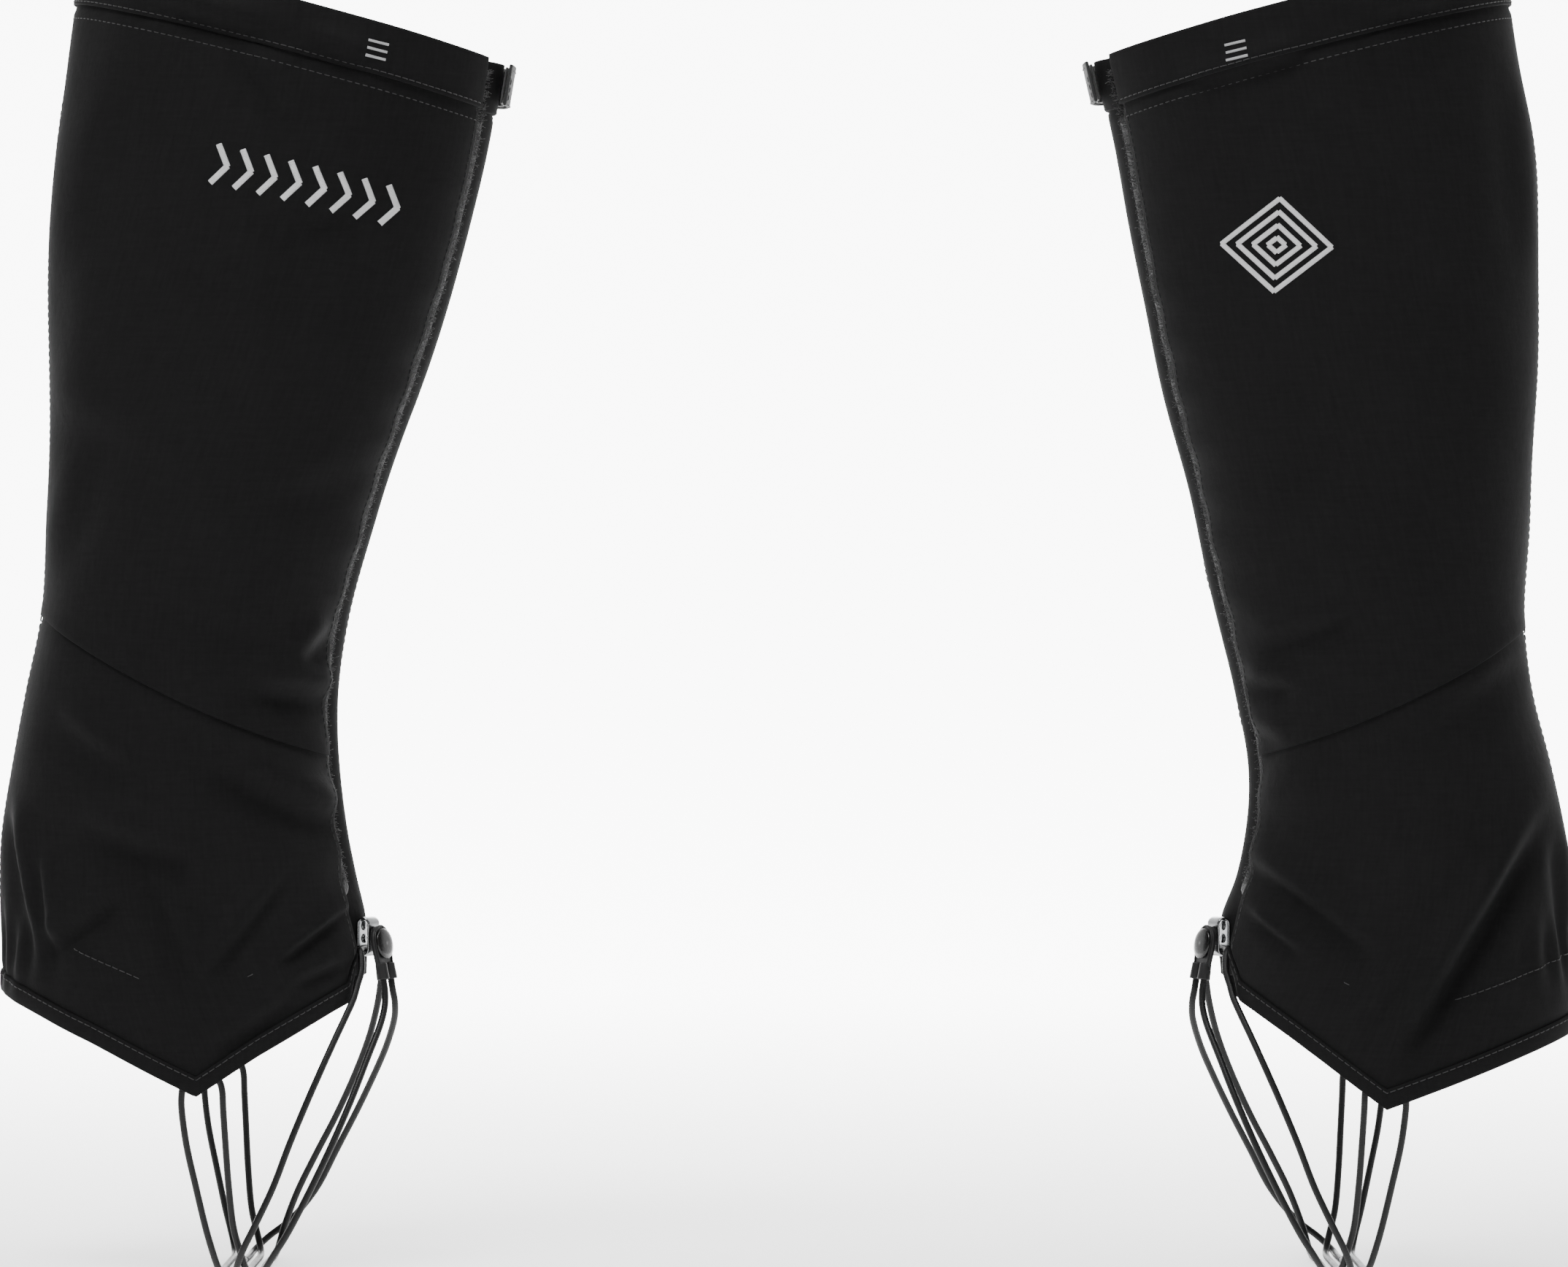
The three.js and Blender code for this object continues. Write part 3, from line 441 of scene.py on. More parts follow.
class Leg:
    # one leg's skin: an ellipse at each height; angles run from the shin line, positive round the outer side
    def __init__(self, side):
        self.side = side
        self.mirror = 1 if side == "right" else -1
        self.shape = legShape[side]
        random = np.random.default_rng(11 if side == "right" else 12)
        self.ripples = [
            (random.uniform(0.06, 0.2), random.normal(0, 1, 3) / random.uniform(9, 24),
             random.uniform(0, 6.3)) for _ in range(16)]
        self.innerFolds = [
            (random.uniform(-60, 80), random.uniform(110, 490), random.uniform(30, 70), random.uniform(4, 8),
             random.uniform(-50, 50), random.uniform(0.5, 1.3)) for _ in range(15)]

    def section(self, z):
        # the ellipse's middle, half depth and half width at a height
        table = smoothTable(self.shape, z)
        back, front, half = table[..., 0], table[..., 1], table[..., 2]
        return (front + back) / 2, (front - back) / 2, half

    def localX(self, angle, z):
        # distance ahead of the ankle axis
        middle, depth, _ = self.section(z)
        return middle + depth * np.cos(np.radians(angle))

    def outward(self, angle, z):
        # the level direction square to the ellipse
        _, depth, half = self.section(z)
        x, y = np.cos(np.radians(angle)) / depth, -np.sin(np.radians(angle)) / half
        size = np.hypot(x, y)
        return np.stack([self.mirror * x / size, y / size, 0 * x], -1)

    def point(self, angle, z, lift=0.0):
        # a place in the pair's frame, lifted off the skin
        angle, z = np.broadcast_arrays(np.asarray(angle, float), np.asarray(z, float))
        _, _, half = self.section(z)
        x = self.mirror * (self.localX(angle, z) - pairSpacing / 2)
        skin = np.stack([x, -half * np.sin(np.radians(angle)), z], -1)
        return skin + self.outward(angle, z) * np.asarray(lift, float)[..., None]

    def angleAtX(self, x, z):
        # the outer side's angle at a distance ahead
        middle, depth, _ = self.section(z)
        return np.degrees(np.arccos(np.clip((x - middle) / depth, -1, 1)))

    def turn(self, length, angle, z):
        # the angle that a length of cloth covers
        _, depth, half = self.section(z)
        a = np.radians(angle)
        return np.degrees(length / np.hypot(depth * np.sin(a), half * np.cos(a)))

    def flapEdge(self, z):
        # the angle of the flap's front edge, a small inset behind the shin line
        middle, depth, _ = self.section(z)
        inset = np.interp(z, *np.array(flapInset).T)
        return self.angleAtX(middle + depth - inset, z)

    def cuffTop(self, x):
        # straight, and lower toward the shin
        return cut["cuffTop"] - cut["cuffSlope"] * (x + 46)

    def yoke(self, x):
        # the seam's height: a line from back to front with a parabola's sag
        t = (x + 62) / 112
        return cut["yokeBack"] + (cut["yokeFront"] - cut["yokeBack"]) * t - 4 * cut["yokeSag"] * t * (1 - t)

    def hem(self, x):
        # straight runs between the hem's corners
        return np.interp(x, *np.array(hemLine[self.side]).T)

    def underlapLift(self, angle, z):
        # the underlap sinks under the flap by the flap's tape
        return -wear["underlapDrop"] * smoothStep(-3, self.flapEdge(z) - 2, angle)

    def relief(self, angle, z):
        # how the worn cloth leaves the even skin: S-shaped folds, ripples, heel gathers and edge puckers.
        # A fold is a distance across it times a bell curve, faded out along its length
        middle, depth, half = self.section(z)
        a = np.radians(angle)
        x, y = middle + depth * np.cos(a), -half * np.sin(a)
        rise = np.zeros_like(x)
        for folds, outer in ((wornFolds[self.side], 1), (self.innerFolds, -1)):
            share = smoothStep(2, 24, -y * outer)
            for cx, cz, length, width, slope, fall in folds:
                c, s = math.cos(math.radians(slope)), math.sin(math.radians(slope))
                along = (x - cx) * c + (z - cz) * s
                across = (z - cz) * c - (x - cx) * s
                wave = across / width * np.exp(0.5 - 0.5 * (across / width) ** 2)
                fade = np.exp(-(along / (wear["foldReach"] * length)) ** 4)
                rise += share * wear["foldDepth"] * fall * wave * fade
        for size, rate, phase in self.ripples:
            rise += size * np.sin(x * rate[0] + y * rate[1] + z * rate[2] * 0.7 + phase)
        # the ankle elastic draws the heel in and gathers it into pleats
        heel = np.exp(-((z - wear["heelHeight"]) / 12) ** 2) * smoothStep(-30, -66, x)
        rise += heel * (wear["heelPleat"] * np.sin(y * 0.62 + 0.4) - wear["heelDraw"])
        # the cuff's elastic gathers the inner back of the top edge
        below = self.cuffTop(x) - z
        cuff = np.exp(-((below - 10) / 11) ** 2) * smoothStep(4, 30, y) * smoothStep(70, 10, x)
        rise += cuff * (wear["cuffPleat"] * np.sin(x * 0.55 + z * 0.1) - wear["cuffDraw"])
        # the cloth lies flat under the hook and over the side cord's loops
        calm = np.exp(-((z - 132) / 12) ** 2) * smoothStep(middle + depth - 14, middle + depth - 6, x)
        point = np.exp(-((x - 5) / 9) ** 2 - ((z - 84) / 16) ** 2)
        rise *= (1 - calm) * (1 - 0.8 * point)
        # puckers where the flap's edge is drawn round the curve of the shin
        front = smoothStep(16, 2, middle + depth - x) * smoothStep(-6, -16, y)
        pucker = wear["pucker"] * np.sin(z * 0.31) + wear["slowPucker"] * np.sin(z * 0.113 + 1.0)
        rise += front * pucker * smoothStep(480, 330, z)
        return rise


legs = {side: Leg(side) for side in ("right", "left")}


# mesh makers. settleSteps is how often a height that depends on its own place is worked out again
settleSteps = 14
levelGuess = 20.0


def addPiece(name, points, quads, tris, slot, uv):
    # uv has one row per corner, quads first; a shell whose volume comes out negative is turned round
    split = np.concatenate([quads[:, [0, 1, 2]], quads[:, [0, 2, 3]], tris])
    a, b, c = (points[split[:, k]] - points[0] for k in range(3))
    quadUv = uv[:quads.size].reshape(-1, 4, 2)
    trisUv = uv[quads.size:].reshape(-1, 3, 2)
    if np.einsum("ij,ij->", a, np.cross(b, c)) < 0:
        quads, tris, quadUv, trisUv = quads[:, ::-1], tris[:, ::-1], quadUv[:, ::-1], trisUv[:, ::-1]
    mesh = bpy.data.meshes.new(name)
    mesh.from_pydata((points * mm).tolist(), [], quads.tolist() + tris.tolist())
    layer = mesh.uv_layers.new(name="UVMap")
    corners = np.concatenate([quadUv.reshape(-1, 2), trisUv.reshape(-1, 2)]) * mm
    layer.data.foreach_set("uv", corners.astype(np.float32).ravel())
    mesh.polygons.foreach_set("use_smooth", np.ones(len(mesh.polygons), bool))
    mesh.materials.append(finishes[slot])
    piece = bpy.data.objects.new(name, mesh)
    bpy.context.scene.collection.objects.link(piece)
    return piece


def edgeLines(length, step, rim):
    # places along one side of a sheet: close together where the edge is rounded
    start = rim * np.array([0, 0.1, 0.35, 0.65])
    middle = np.linspace(rim, length - rim, max(3, int(round((length - 2 * rim) / step)) + 1))
    return np.concatenate([start, middle, (length - start)[::-1]]) / length


def edgeDistances(points):
    # lengths from the first and to the last point of each line of an array of points
    steps = np.linalg.norm(np.diff(points, axis=1), axis=-1)
    run = np.concatenate([np.zeros((len(points), 1)), np.cumsum(steps, axis=1)], axis=1)
    return run, run[:, -1:] - run


def sheetPiece(leg, name, slot, angles, heights, top=0.0, thick=1.0, dips=(), step=2.2):
    # a sheet on the skin, as a closed shell with half-round edges. angles are two functions of height and
    # heights two functions of distance ahead. A dip moves a border in: (border, depth, level, end)
    middle = float(0.5 * (heights[0](levelGuess) + heights[1](levelGuess)))
    spread = np.linspace(0, 1, 40)
    probe = np.full(40, middle)
    across = leg.point(angles[0](probe) * (1 - spread) + angles[1](probe) * spread, probe)
    width = float(np.linalg.norm(np.diff(across, axis=0), axis=1).sum())
    height = float(heights[1](levelGuess) - heights[0](levelGuess))
    s, t = np.meshgrid(edgeLines(width, step, thick / 2), edgeLines(height, step, thick / 2))
    z = np.full(s.shape, middle)
    for _ in range(settleSteps):
        angle = angles[0](z) * (1 - s) + angles[1](z) * s
        x = leg.localX(angle, z)
        z = heights[0](x) * (1 - t) + heights[1](x) * t
    angle = angles[0](z) * (1 - s) + angles[1](z) * s
    skin = leg.point(angle, z)
    fromStart, toEnd = edgeDistances(skin)
    fromLow, toHigh = (d.T for d in edgeDistances(skin.transpose(1, 0, 2)))
    borders = {"start": fromStart, "end": toEnd, "low": fromLow, "high": toHigh}
    lift = top(angle, z) if callable(top) else np.full(s.shape, float(top))
    for border, depth, level, end in dips:
        lift = lift - depth * (1 - smoothStep(level, end, borders[border]))
    lift = lift + leg.relief(angle, z)
    near = np.clip(np.minimum.reduce(list(borders.values())) / (thick / 2), 0, 1)
    drop = thick / 2 * (1 - np.sqrt(np.clip(1 - (1 - near) ** 2, 0, 1)))
    outer = leg.point(angle, z, lift - drop)
    inner = leg.point(angle, z, lift - thick + drop)
    rows, columns = s.shape
    front = np.arange(rows * columns).reshape(rows, columns)
    back = front.copy()
    back[1:-1, 1:-1] = rows * columns + np.arange((rows - 2) * (columns - 2)).reshape(rows - 2, columns - 2)

    def corners(grid):
        cells = np.stack([grid[:-1, :-1], grid[:-1, 1:], grid[1:, 1:], grid[1:, :-1]], 2)
        return cells.reshape(-1, 4, *grid.shape[2:])

    points = np.concatenate([outer.reshape(-1, 3), inner[1:-1, 1:-1].reshape(-1, 3)])
    quads = np.concatenate([corners(front), corners(back)[:, ::-1]])
    flatPlace = np.stack([fromStart, z], -1)
    uv = np.concatenate([corners(flatPlace), corners(flatPlace)[:, ::-1]]).reshape(-1, 2)
    piece = addPiece(name, points, quads, np.empty((0, 3), int), slot, uv)
    a, b = skin[1:, 1:] - skin[:-1, :-1], skin[1:, :-1] - skin[:-1, 1:]
    area = float(0.5 * np.linalg.norm(np.cross(a, b), axis=-1).sum() * mm * mm)
    size = (float(fromStart.max()) * mm, float(fromLow.max()) * mm)
    return piece, size, area


def sweptPiece(name, slot, parts):
    # sections carried along paths. A part is (paths, normals, binormals, offsets): the first three are
    # n paths of m points, and offsets gives k places round each point, along its normal and binormal
    points, quads, tris, quadUv, trisUv, used = [], [], [], [], [], 0
    for paths, normals, binormals, offsets in parts:
        n, m, _ = paths.shape
        offsets = np.broadcast_to(offsets, (n, m, *offsets.shape[2:]))
        k = offsets.shape[2]
        body = paths[:, :, None] + normals[:, :, None] * offsets[..., :1]
        body = body + binormals[:, :, None] * offsets[..., 1:]
        points.append(np.concatenate([body.reshape(n, -1, 3), paths[:, [0, -1]]], axis=1).reshape(-1, 3))
        ring = np.arange(m * k).reshape(m, k)
        turned = np.roll(ring, -1, axis=1)
        side = np.stack([ring[:-1], turned[:-1], turned[1:], ring[1:]], -1).reshape(-1, 4)
        first = np.stack([np.full(k, m * k), turned[0], ring[0]], -1)
        last = np.stack([np.full(k, m * k + 1), ring[-1], turned[-1]], -1)
        shift = used + np.arange(n)[:, None, None] * (m * k + 2)
        quads.append((side + shift).reshape(-1, 4))
        tris.append((np.concatenate([first, last]) + shift).reshape(-1, 3))
        steps = np.linalg.norm(np.diff(paths, axis=1), axis=-1)
        run = np.concatenate([np.zeros((n, 1)), np.cumsum(steps, axis=1)], axis=1)
        closed = np.concatenate([offsets, offsets[:, :, :1]], axis=2)
        girth = np.linalg.norm(np.diff(closed, axis=2), axis=-1).sum(-1).max()
        u = np.arange(k) / k * girth
        left = np.broadcast_to(np.stack([u, u + girth / k, u + girth / k, u], -1), (n, m - 1, k, 4))
        along = np.stack([run[:, :-1], run[:, :-1], run[:, 1:], run[:, 1:]], -1)
        quadUv.append(np.stack([left, np.broadcast_to(along[:, :, None], left.shape)], -1).reshape(-1, 2))
        trisUv.append(np.zeros((n * 2 * k * 3, 2)))
        used += n * (m * k + 2)
    uv = np.concatenate(quadUv + trisUv)
    return addPiece(name, np.concatenate(points), np.concatenate(quads), np.concatenate(tris), slot, uv)


def unit(vectors):
    # each vector over its own length
    return vectors / np.maximum(np.linalg.norm(vectors, axis=-1, keepdims=True), 1e-12)


def roundOffsets(radii, sides):
    # a circle of each radius in turn
    turn = np.linspace(0, 2 * math.pi, sides, endpoint=False)
    circle = np.stack([np.cos(turn), np.sin(turn)], -1)
    return np.asarray(radii, float)[None, :, None, None] * circle


def bladeOffsets(halfWidths, halfThick, sides=28, square=4.0):
    # rounded rectangles, as superellipses, of each half width and half thickness
    turn = np.linspace(0, 2 * math.pi, sides, endpoint=False)
    c, s = np.cos(turn), np.sin(turn)
    shape = np.stack([np.sign(c) * np.abs(c) ** (2 / square), np.sign(s) * np.abs(s) ** (2 / square)], -1)
    size = np.stack(np.broadcast_arrays(np.asarray(halfThick, float), np.asarray(halfWidths, float)), -1)
    return (size[:, None] * shape)[None]


def threadPart(paths, up, radii, sides=5):
    # many short threads, each a path of a few points with a radius for each point; up is their outward side
    along = unit(np.gradient(paths, axis=1))
    side = unit(np.cross(along, np.broadcast_to(up[:, None], paths.shape)))
    return paths, np.cross(side, along), side, roundOffsets(radii, sides)


def carriedFrame(path):
    # a normal carried along a path without twist, and its binormal
    along = unit(np.gradient(path, axis=0))
    normal = unit(np.cross(along[0], (0.3, 0.2, 0.93)))
    normals = []
    for direction in along:
        normal = unit(normal - direction * (normal @ direction))
        normals.append(normal)
    normals = np.array(normals)
    return normals, np.cross(along, normals)


def throughPoints(points, per):
    # a smooth path through chosen points, by the Catmull-Rom cubic, with so many steps between each two
    points = np.asarray(points, float)
    ends = np.concatenate([[2 * points[0] - points[1]], points, [2 * points[-1] - points[-2]]])
    a, b, c, d = ends[:-3, None], ends[1:-2, None], ends[2:-1, None], ends[3:, None]
    t = np.linspace(0, 1, per, endpoint=False)[None, :, None]
    curve = 2 * b + (c - a) * t + (2 * a - 5 * b + 4 * c - d) * t ** 2 + (3 * b - a - 3 * c + d) * t ** 3
    return np.concatenate([0.5 * curve.reshape(-1, 3), points[-1:]])


# half the width, in millimetres, of a band about the flap's fold line
foldSpread = 14.0


def crossing(piece, side):
    # cloth that crosses the flap's fold line, with its place baked into its mesh
    (x0, z0), (x1, z1) = cut["foldBottom"], cut["foldTop"]
    rate = (x1 - x0) / (z1 - z0)
    size = math.hypot(1, rate)
    for way in (-foldSpread, foldSpread):
        x, z = x0 + way / size, z0 - way * rate / size
        legs[side].mirror * (x - pairSpacing / 2) * mm
        z * mm
    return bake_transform(piece)


print("shapes ready")

# cords: points ahead of the ankle axis, across and up, in millimetres
cords = {
    "diameter": 2.7, "sides": 20, "per": 9,
    "down": [
        (5.2, -50.8, 80), (3.4, -50.8, 80), (0.4, -50.8, 79.4), (-1.9, -50.7, 77), (-2.9, -50.6, 73),
        (-3, -50.2, 66), (-1.2, -48.9, 52), (2.2, -47, 36), (5.8, -45, 20), (8.6, -42.8, 9.5),
        (10.2, -38.6, 3.6), (10.8, -31, 1.6), (11, -12, 1.5)],
    "return": [
        (21.4, -12, 1.5), (21.3, -31, 1.6), (20.8, -37.8, 3.6), (19.2, -41.2, 9.5), (16.6, -43.6, 20),
        (15, -46.4, 36), (14, -48.7, 52), (13.2, -50.2, 66), (12.9, -50.6, 73), (11.9, -50.7, 77),
        (9.6, -50.8, 79.4), (6.6, -50.8, 80), (5.8, -50.8, 80)],
    "front": [
        (72.8, -11.6, 119), (73.4, -11.9, 115.1), (74.1, -12.6, 110), (74, -14.5, 104), (72.2, -18, 96.5),
        (68, -25, 85), (62.5, -33, 70), (55, -39.5, 52), (46.5, -43, 34), (38.2, -44.5, 18),
        (32.5, -43.2, 9), (29, -38.5, 3.6), (27.3, -31, 1.6), (26.5, -12, 1.5),
        (26.5, 12, 1.5), (27, 31, 1.6), (28, 39.5, 5), (30.5, 43, 14), (35.5, 43.3, 27), (43, 41, 42),
        (51.5, 36.5, 58), (59.5, 29.5, 75), (65.5, 21.5, 90), (69, 14.5, 102), (70.8, 9.5, 111),
        (71.6, 6.3, 118.5), (71.2, 4, 123.5), (70.4, 1.8, 126.2), (69.4, -0.4, 127),
        (67, -5.3, 127), (64.5, -10.3, 127), (64.4, -13, 126), (64.9, -14.8, 123.5),
        (65, -17.5, 118.5), (63.7, -20.2, 113.5), (62.3, -23.5, 108), (59.8, -27, 102), (56, -32, 93.5),
        (51, -37.5, 82), (45, -41.5, 68), (38.5, -44.5, 52), (32.5, -46.5, 36), (26, -48, 22),
        (21, -47.4, 12), (18.6, -44.6, 6.2), (17.4, -40, 2.6), (17, -34, 1.5), (16.6, -12, 1.5),
        (16.6, 12, 1.5), (17, 34, 1.5), (18.3, 42, 3.2), (23.5, 47, 8), (33, 47.8, 15.5), (43, 45, 28),
        (51.5, 39.5, 44), (60, 32, 60), (67.5, 22, 75), (73, 12, 87), (76.8, 1, 98), (77.6, -5, 105),
        (76.8, -6.7, 110.7), (76.1, -6.4, 115.1), (75.5, -6.1, 119)],
    "firstTurn": 13, "lastTurn": 48,
}


def cordPiece(name, side, points):
    # a round cord along a smooth path
    path = throughPoints(points, cords["per"])
    path[:, 0] = legs[side].mirror * (path[:, 0] - pairSpacing / 2)
    normals, binormals = carriedFrame(path)
    offsets = roundOffsets(np.full(len(path), cords["diameter"] / 2), cords["sides"])
    piece = sweptPiece(name, "cord", [(path[None], normals[None], binormals[None], offsets)])
    return piece


for side in legs:
    across = [(x, -y, z) for x, y, z in cords["down"]][::-1]
    backAcross = [(x, -y, z) for x, y, z in cords["return"]][::-1]
    route = cords["down"] + across[:-1] + backAcross[1:] + cords["return"]
    sideCord = cordPiece(f"{side}_side_cord_braided", side, route)
    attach(sideCord, "gaiters")
    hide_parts(f"{side}_side_cord")
    first, last = cords["firstTurn"], cords["lastTurn"]
    main = cordPiece(f"{side}_front_cord_braided", side, cords["front"][first:last + 1])
    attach(main, "gaiters")
    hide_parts(f"{side}_front_cord")
    outerRun = cordPiece(f"{side}_front_cord_outer_end", side, cords["front"][:first + 1])
    innerRun = cordPiece(f"{side}_front_cord_inner_end", side, cords["front"][last:])
    for run in (outerRun, innerRun):
        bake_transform(run)
print("cords made")


# cloth. layers gives how far each layer's outer face lies from the skin and its thickness, in millimetres
layers = {
    "hem": (0.5, 1.3), "cuff": (0.75, 1.4), "underlap": (0.0, 1.2), "hookTape": (-1.15, 1.5),
    "loopTape": (1.3, 1.15), "strap": (5.55, 1.4), "strapRoot": (2.45, 1.4), "strapHook": (3.5, 0.9),
    "cuffLoop": (1.95, 0.9), "cuffElastic": (-0.75, 1.2), "ankleElastic": (-1.1, 1.2),
    "backTape": (-1.7, 0.6),
}
seams = {
    "overlap": 0.3, "underCuff": 3, "aboveYoke": 1.2, "belowYoke": 1.8, "underHem": 3.0, "tapeUnderCuff": 4.2,
    "tapeBack": 22.5, "loopFrontAngle": 9.5, "strapDrop": 1, "strapHeight": 17, "strapRoot": -42,
    "strapEnd": 8,
    "backTapeHalf": 9, "heelHalf": 60,
}


def clothPieces(side):
    # every cut cloth, tape, elastic and strap of one gaiter, as sheets between two angles and two heights
    leg = legs[side]
    overlap = seams["overlap"]

    def always(value):
        # a border at one angle or one height
        return lambda key: value + 0 * np.asarray(key, float)

    def beyondEdge(length):
        # a line that lies so far behind the flap's edge
        return lambda z: leg.flapEdge(z) + leg.turn(length, leg.flapEdge(z) + 8, z)

    def backOuter(z):
        return 180 + leg.turn(overlap, 180, z)

    def backInner(z):
        return -180 - leg.turn(overlap, 180, z)

    def innerSeam(z):
        return -cut["underlapSeam"] + leg.turn(overlap, 0, z)

    def lapSeam(z):
        return -cut["underlapSeam"] - leg.turn(overlap, 0, z)

    def cuffLow(x):
        return leg.cuffTop(x) - cut["cuffDepth"]

    def panelTop(x):
        return cuffLow(x) + seams["underCuff"]

    def hemTop(x):
        return leg.hem(x) + cut["hemDepth"]

    flatEdge = cut["tapeInset"] + cut["tapeWidth"] + cut["underlapMargin"]
    pieces = {}

    def make(name, slot, body, nodes, *args, **kwargs):
        # one sheet, held by a body, handed to a function, or baked in place across the flap's fold line
        piece, size, area = sheetPiece(leg, f"{side}_{name}", slot, *args, **kwargs)
        if body == "crossing":
            crossing(piece, side)
        elif callable(body):
            body(piece)
        else:
            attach(piece, body)
        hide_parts(*[f"{side}_{node}" for node in nodes])
        pieces[name] = (piece, size, area)

    def above(x):
        return leg.yoke(x) - seams["aboveYoke"]

    def below(x):
        return leg.yoke(x) + seams["belowYoke"]

    def underHem(x):
        return hemTop(x) - seams["underHem"]

    upperDips = (("low", -0.35, 1.5, 8), ("start", 0.25, 0.5, 5), ("high", 0.75, 3.4, 6.5))
    lowerDips = (("high", 0.75, 3.4, 9), ("low", 0.55, 3.4, 7))
    edge, lap = leg.flapEdge, leg.underlapLift
    panels = (("outer", "crossing", (edge, backOuter)), ("inner", "gaiters", (innerSeam, backInner)))
    for part, body, sides in panels:
        flapNodes = lambda kind: ["outer_" + kind, "flap_" + kind] if part == "outer" else ["inner_" + kind]
        make(f"{part}_upper_cloth", "cloth", body, flapNodes("upper_panel"), sides, (above, panelTop),
             dips=upperDips)
        make(f"{part}_lower_cloth", "cloth", body, flapNodes("lower_panel"), sides, (underHem, below),
             dips=lowerDips)
        top, thick = layers["hem"]
        make(f"{part}_hem_fold", "cloth", body, flapNodes("hem_band"), sides, (leg.hem, hemTop),
             top=top, thick=thick, dips=(("low", 0.35, 0.4, 2.2),), step=1.6)
    cuffRise, thick = layers["cuff"]
    make("outer_cuff_fold", "cloth", "crossing", ["outer_cuff", "flap_cuff"], (edge, backOuter),
         (cuffLow, leg.cuffTop), top=cuffRise, thick=thick, dips=(("high", 0.25, 0.6, 3.5),), step=1.8)
    make("inner_cuff_fold", "cloth", "gaiters", ["inner_cuff"], (beyondEdge(flatEdge), backInner),
         (cuffLow, leg.cuffTop), top=lambda a, z: lap(a, z) + cuffRise, thick=thick, step=1.8)
    thick = layers["underlap"][1]
    make("underlap_cloth", "cloth", "gaiters", ["underlap"], (beyondEdge(flatEdge), lapSeam),
         (always(cut["underlapTip"]), panelTop), top=lap, thick=thick, dips=(("high", 0.75, 3.4, 6.5),),
         step=2.0)

    def tapeTop(x):
        return cuffLow(x) - seams["tapeUnderCuff"]

    def loopFront(z):
        # behind the flap's edge at the hook, and ahead of it from the hook up, where the fuzz shows
        rise = smoothStep(142, 152, z)
        return (leg.flapEdge(z) + leg.turn(2.5, 10, z)) * (1 - rise) + seams["loopFrontAngle"] * rise

    # both tapes end four millimetres above the hem's front end
    tapeLow = always(float(leg.hem(leg.section(np.array(cut["underlapTip"]))[0] + 200)) + 4)
    tapeBack = beyondEdge(seams["tapeBack"])
    top, thick = layers["hookTape"]
    make("hook_tape_strip", "hook_and_loop", f"{side}_flap", ["hook_tape"],
         (beyondEdge(0.5), tapeBack), (tapeLow, tapeTop), top=top, thick=thick, step=2.0)
    loopRise, thick = layers["loopTape"]
    make("loop_tape_strip", "hook_and_loop", "gaiters", ["loop_tape"],
         (loopFront, tapeBack), (tapeLow, tapeTop), top=lambda a, z: lap(a, z) + loopRise, thick=thick,
         step=2.0)

    def strapTop(x):
        return leg.cuffTop(x) - seams["strapDrop"]

    def strapLow(x):
        return strapTop(x) - seams["strapHeight"]

    def patchTop(x):
        return strapTop(x) - 1

    def patchLow(x):
        return strapLow(x) + 1

    def strapRise(a, z):
        # flat on the cuff at its root, then over the two patches
        return layers["strapRoot"][0] + (4.15 - 1.05) * smoothStep(-38, -25, a)

    def strapTurn(piece):
        # the strap, sewn down for its first degree and free of the cuff from eight degrees on, with its place
        # baked into its mesh
        start, end = leg.point(np.array([-41.0, -34.0]), np.full(2, 475.0)) * mm
        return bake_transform(piece)

    make("cuff_strap_webbing", "webbing", strapTurn, ["cuff_strap"],
         (always(seams["strapRoot"]), always(seams["strapEnd"])), (strapLow, strapTop),
         top=strapRise, thick=layers["strap"][1], step=1.5)
    top, thick = layers["strapHook"]
    make("strap_hook_patch", "hook_and_loop", f"{side}_strap", ["cuff_strap_hook_patch"],
         (always(-22), always(7)), (patchLow, patchTop), top=top, thick=thick, step=2.0)
    top, thick = layers["cuffLoop"]
    make("cuff_loop_pad", "hook_and_loop", "gaiters", ["cuff_loop_patch"],
         (always(-22), always(-4)), (patchLow, patchTop), top=top, thick=thick, step=2.0)
    elasticMiddle = lambda x: leg.cuffTop(x) - cut["cuffDepth"] / 2
    top, thick = layers["cuffElastic"]
    make("cuff_elastic_band", "elastic", "gaiters", ["cuff_elastic"], (always(95), always(265)),
         (lambda x: elasticMiddle(x) - 6.8, lambda x: elasticMiddle(x) + 7), top=top, thick=thick, step=2.0)
    heel = lambda z: leg.turn(seams["heelHalf"], 150, z)
    top, thick = layers["ankleElastic"]
    make("ankle_elastic_band", "elastic", "gaiters", ["ankle_elastic"],
         (lambda z: 180 - heel(z), lambda z: 180 + heel(z)), (always(123), always(133)),
         top=top, thick=thick, step=1.6)
    spine = lambda z: leg.turn(seams["backTapeHalf"], 180, z)
    top, thick = layers["backTape"]
    make("back_seam_binding", "webbing", "gaiters", ["back_seam_tape"],
         (lambda z: 180 - spine(z), lambda z: 180 + spine(z)),
         (always(133.3), lambda x: cuffLow(x) - 2.2), top=top, thick=thick, step=2.0)
    # each cut cloth, how it is held and the narrow fold sewn to it
    cutCloths = {
        "outer_upper_cloth": ("stretched", None),
        "inner_upper_cloth": ("stretched", None),
        "outer_lower_cloth": ("stretched", "outer_hem_fold"),
        "inner_lower_cloth": ("stretched", "inner_hem_fold"),
        "outer_cuff_fold": ("folded", None),
        "inner_cuff_fold": ("folded", None),
        "underlap_cloth": ("stretched", None),
    }
    for name, (held, fold) in cutCloths.items():
        piece, size, area = pieces[name]
        min(area, size[0] * size[1])
        print(f"{side}_{name}: cut {size[0]:.3f} by {size[1]:.3f} m, area {area:.4f} m2")


for side in legs:
    clothPieces(side)
print("cloth made")


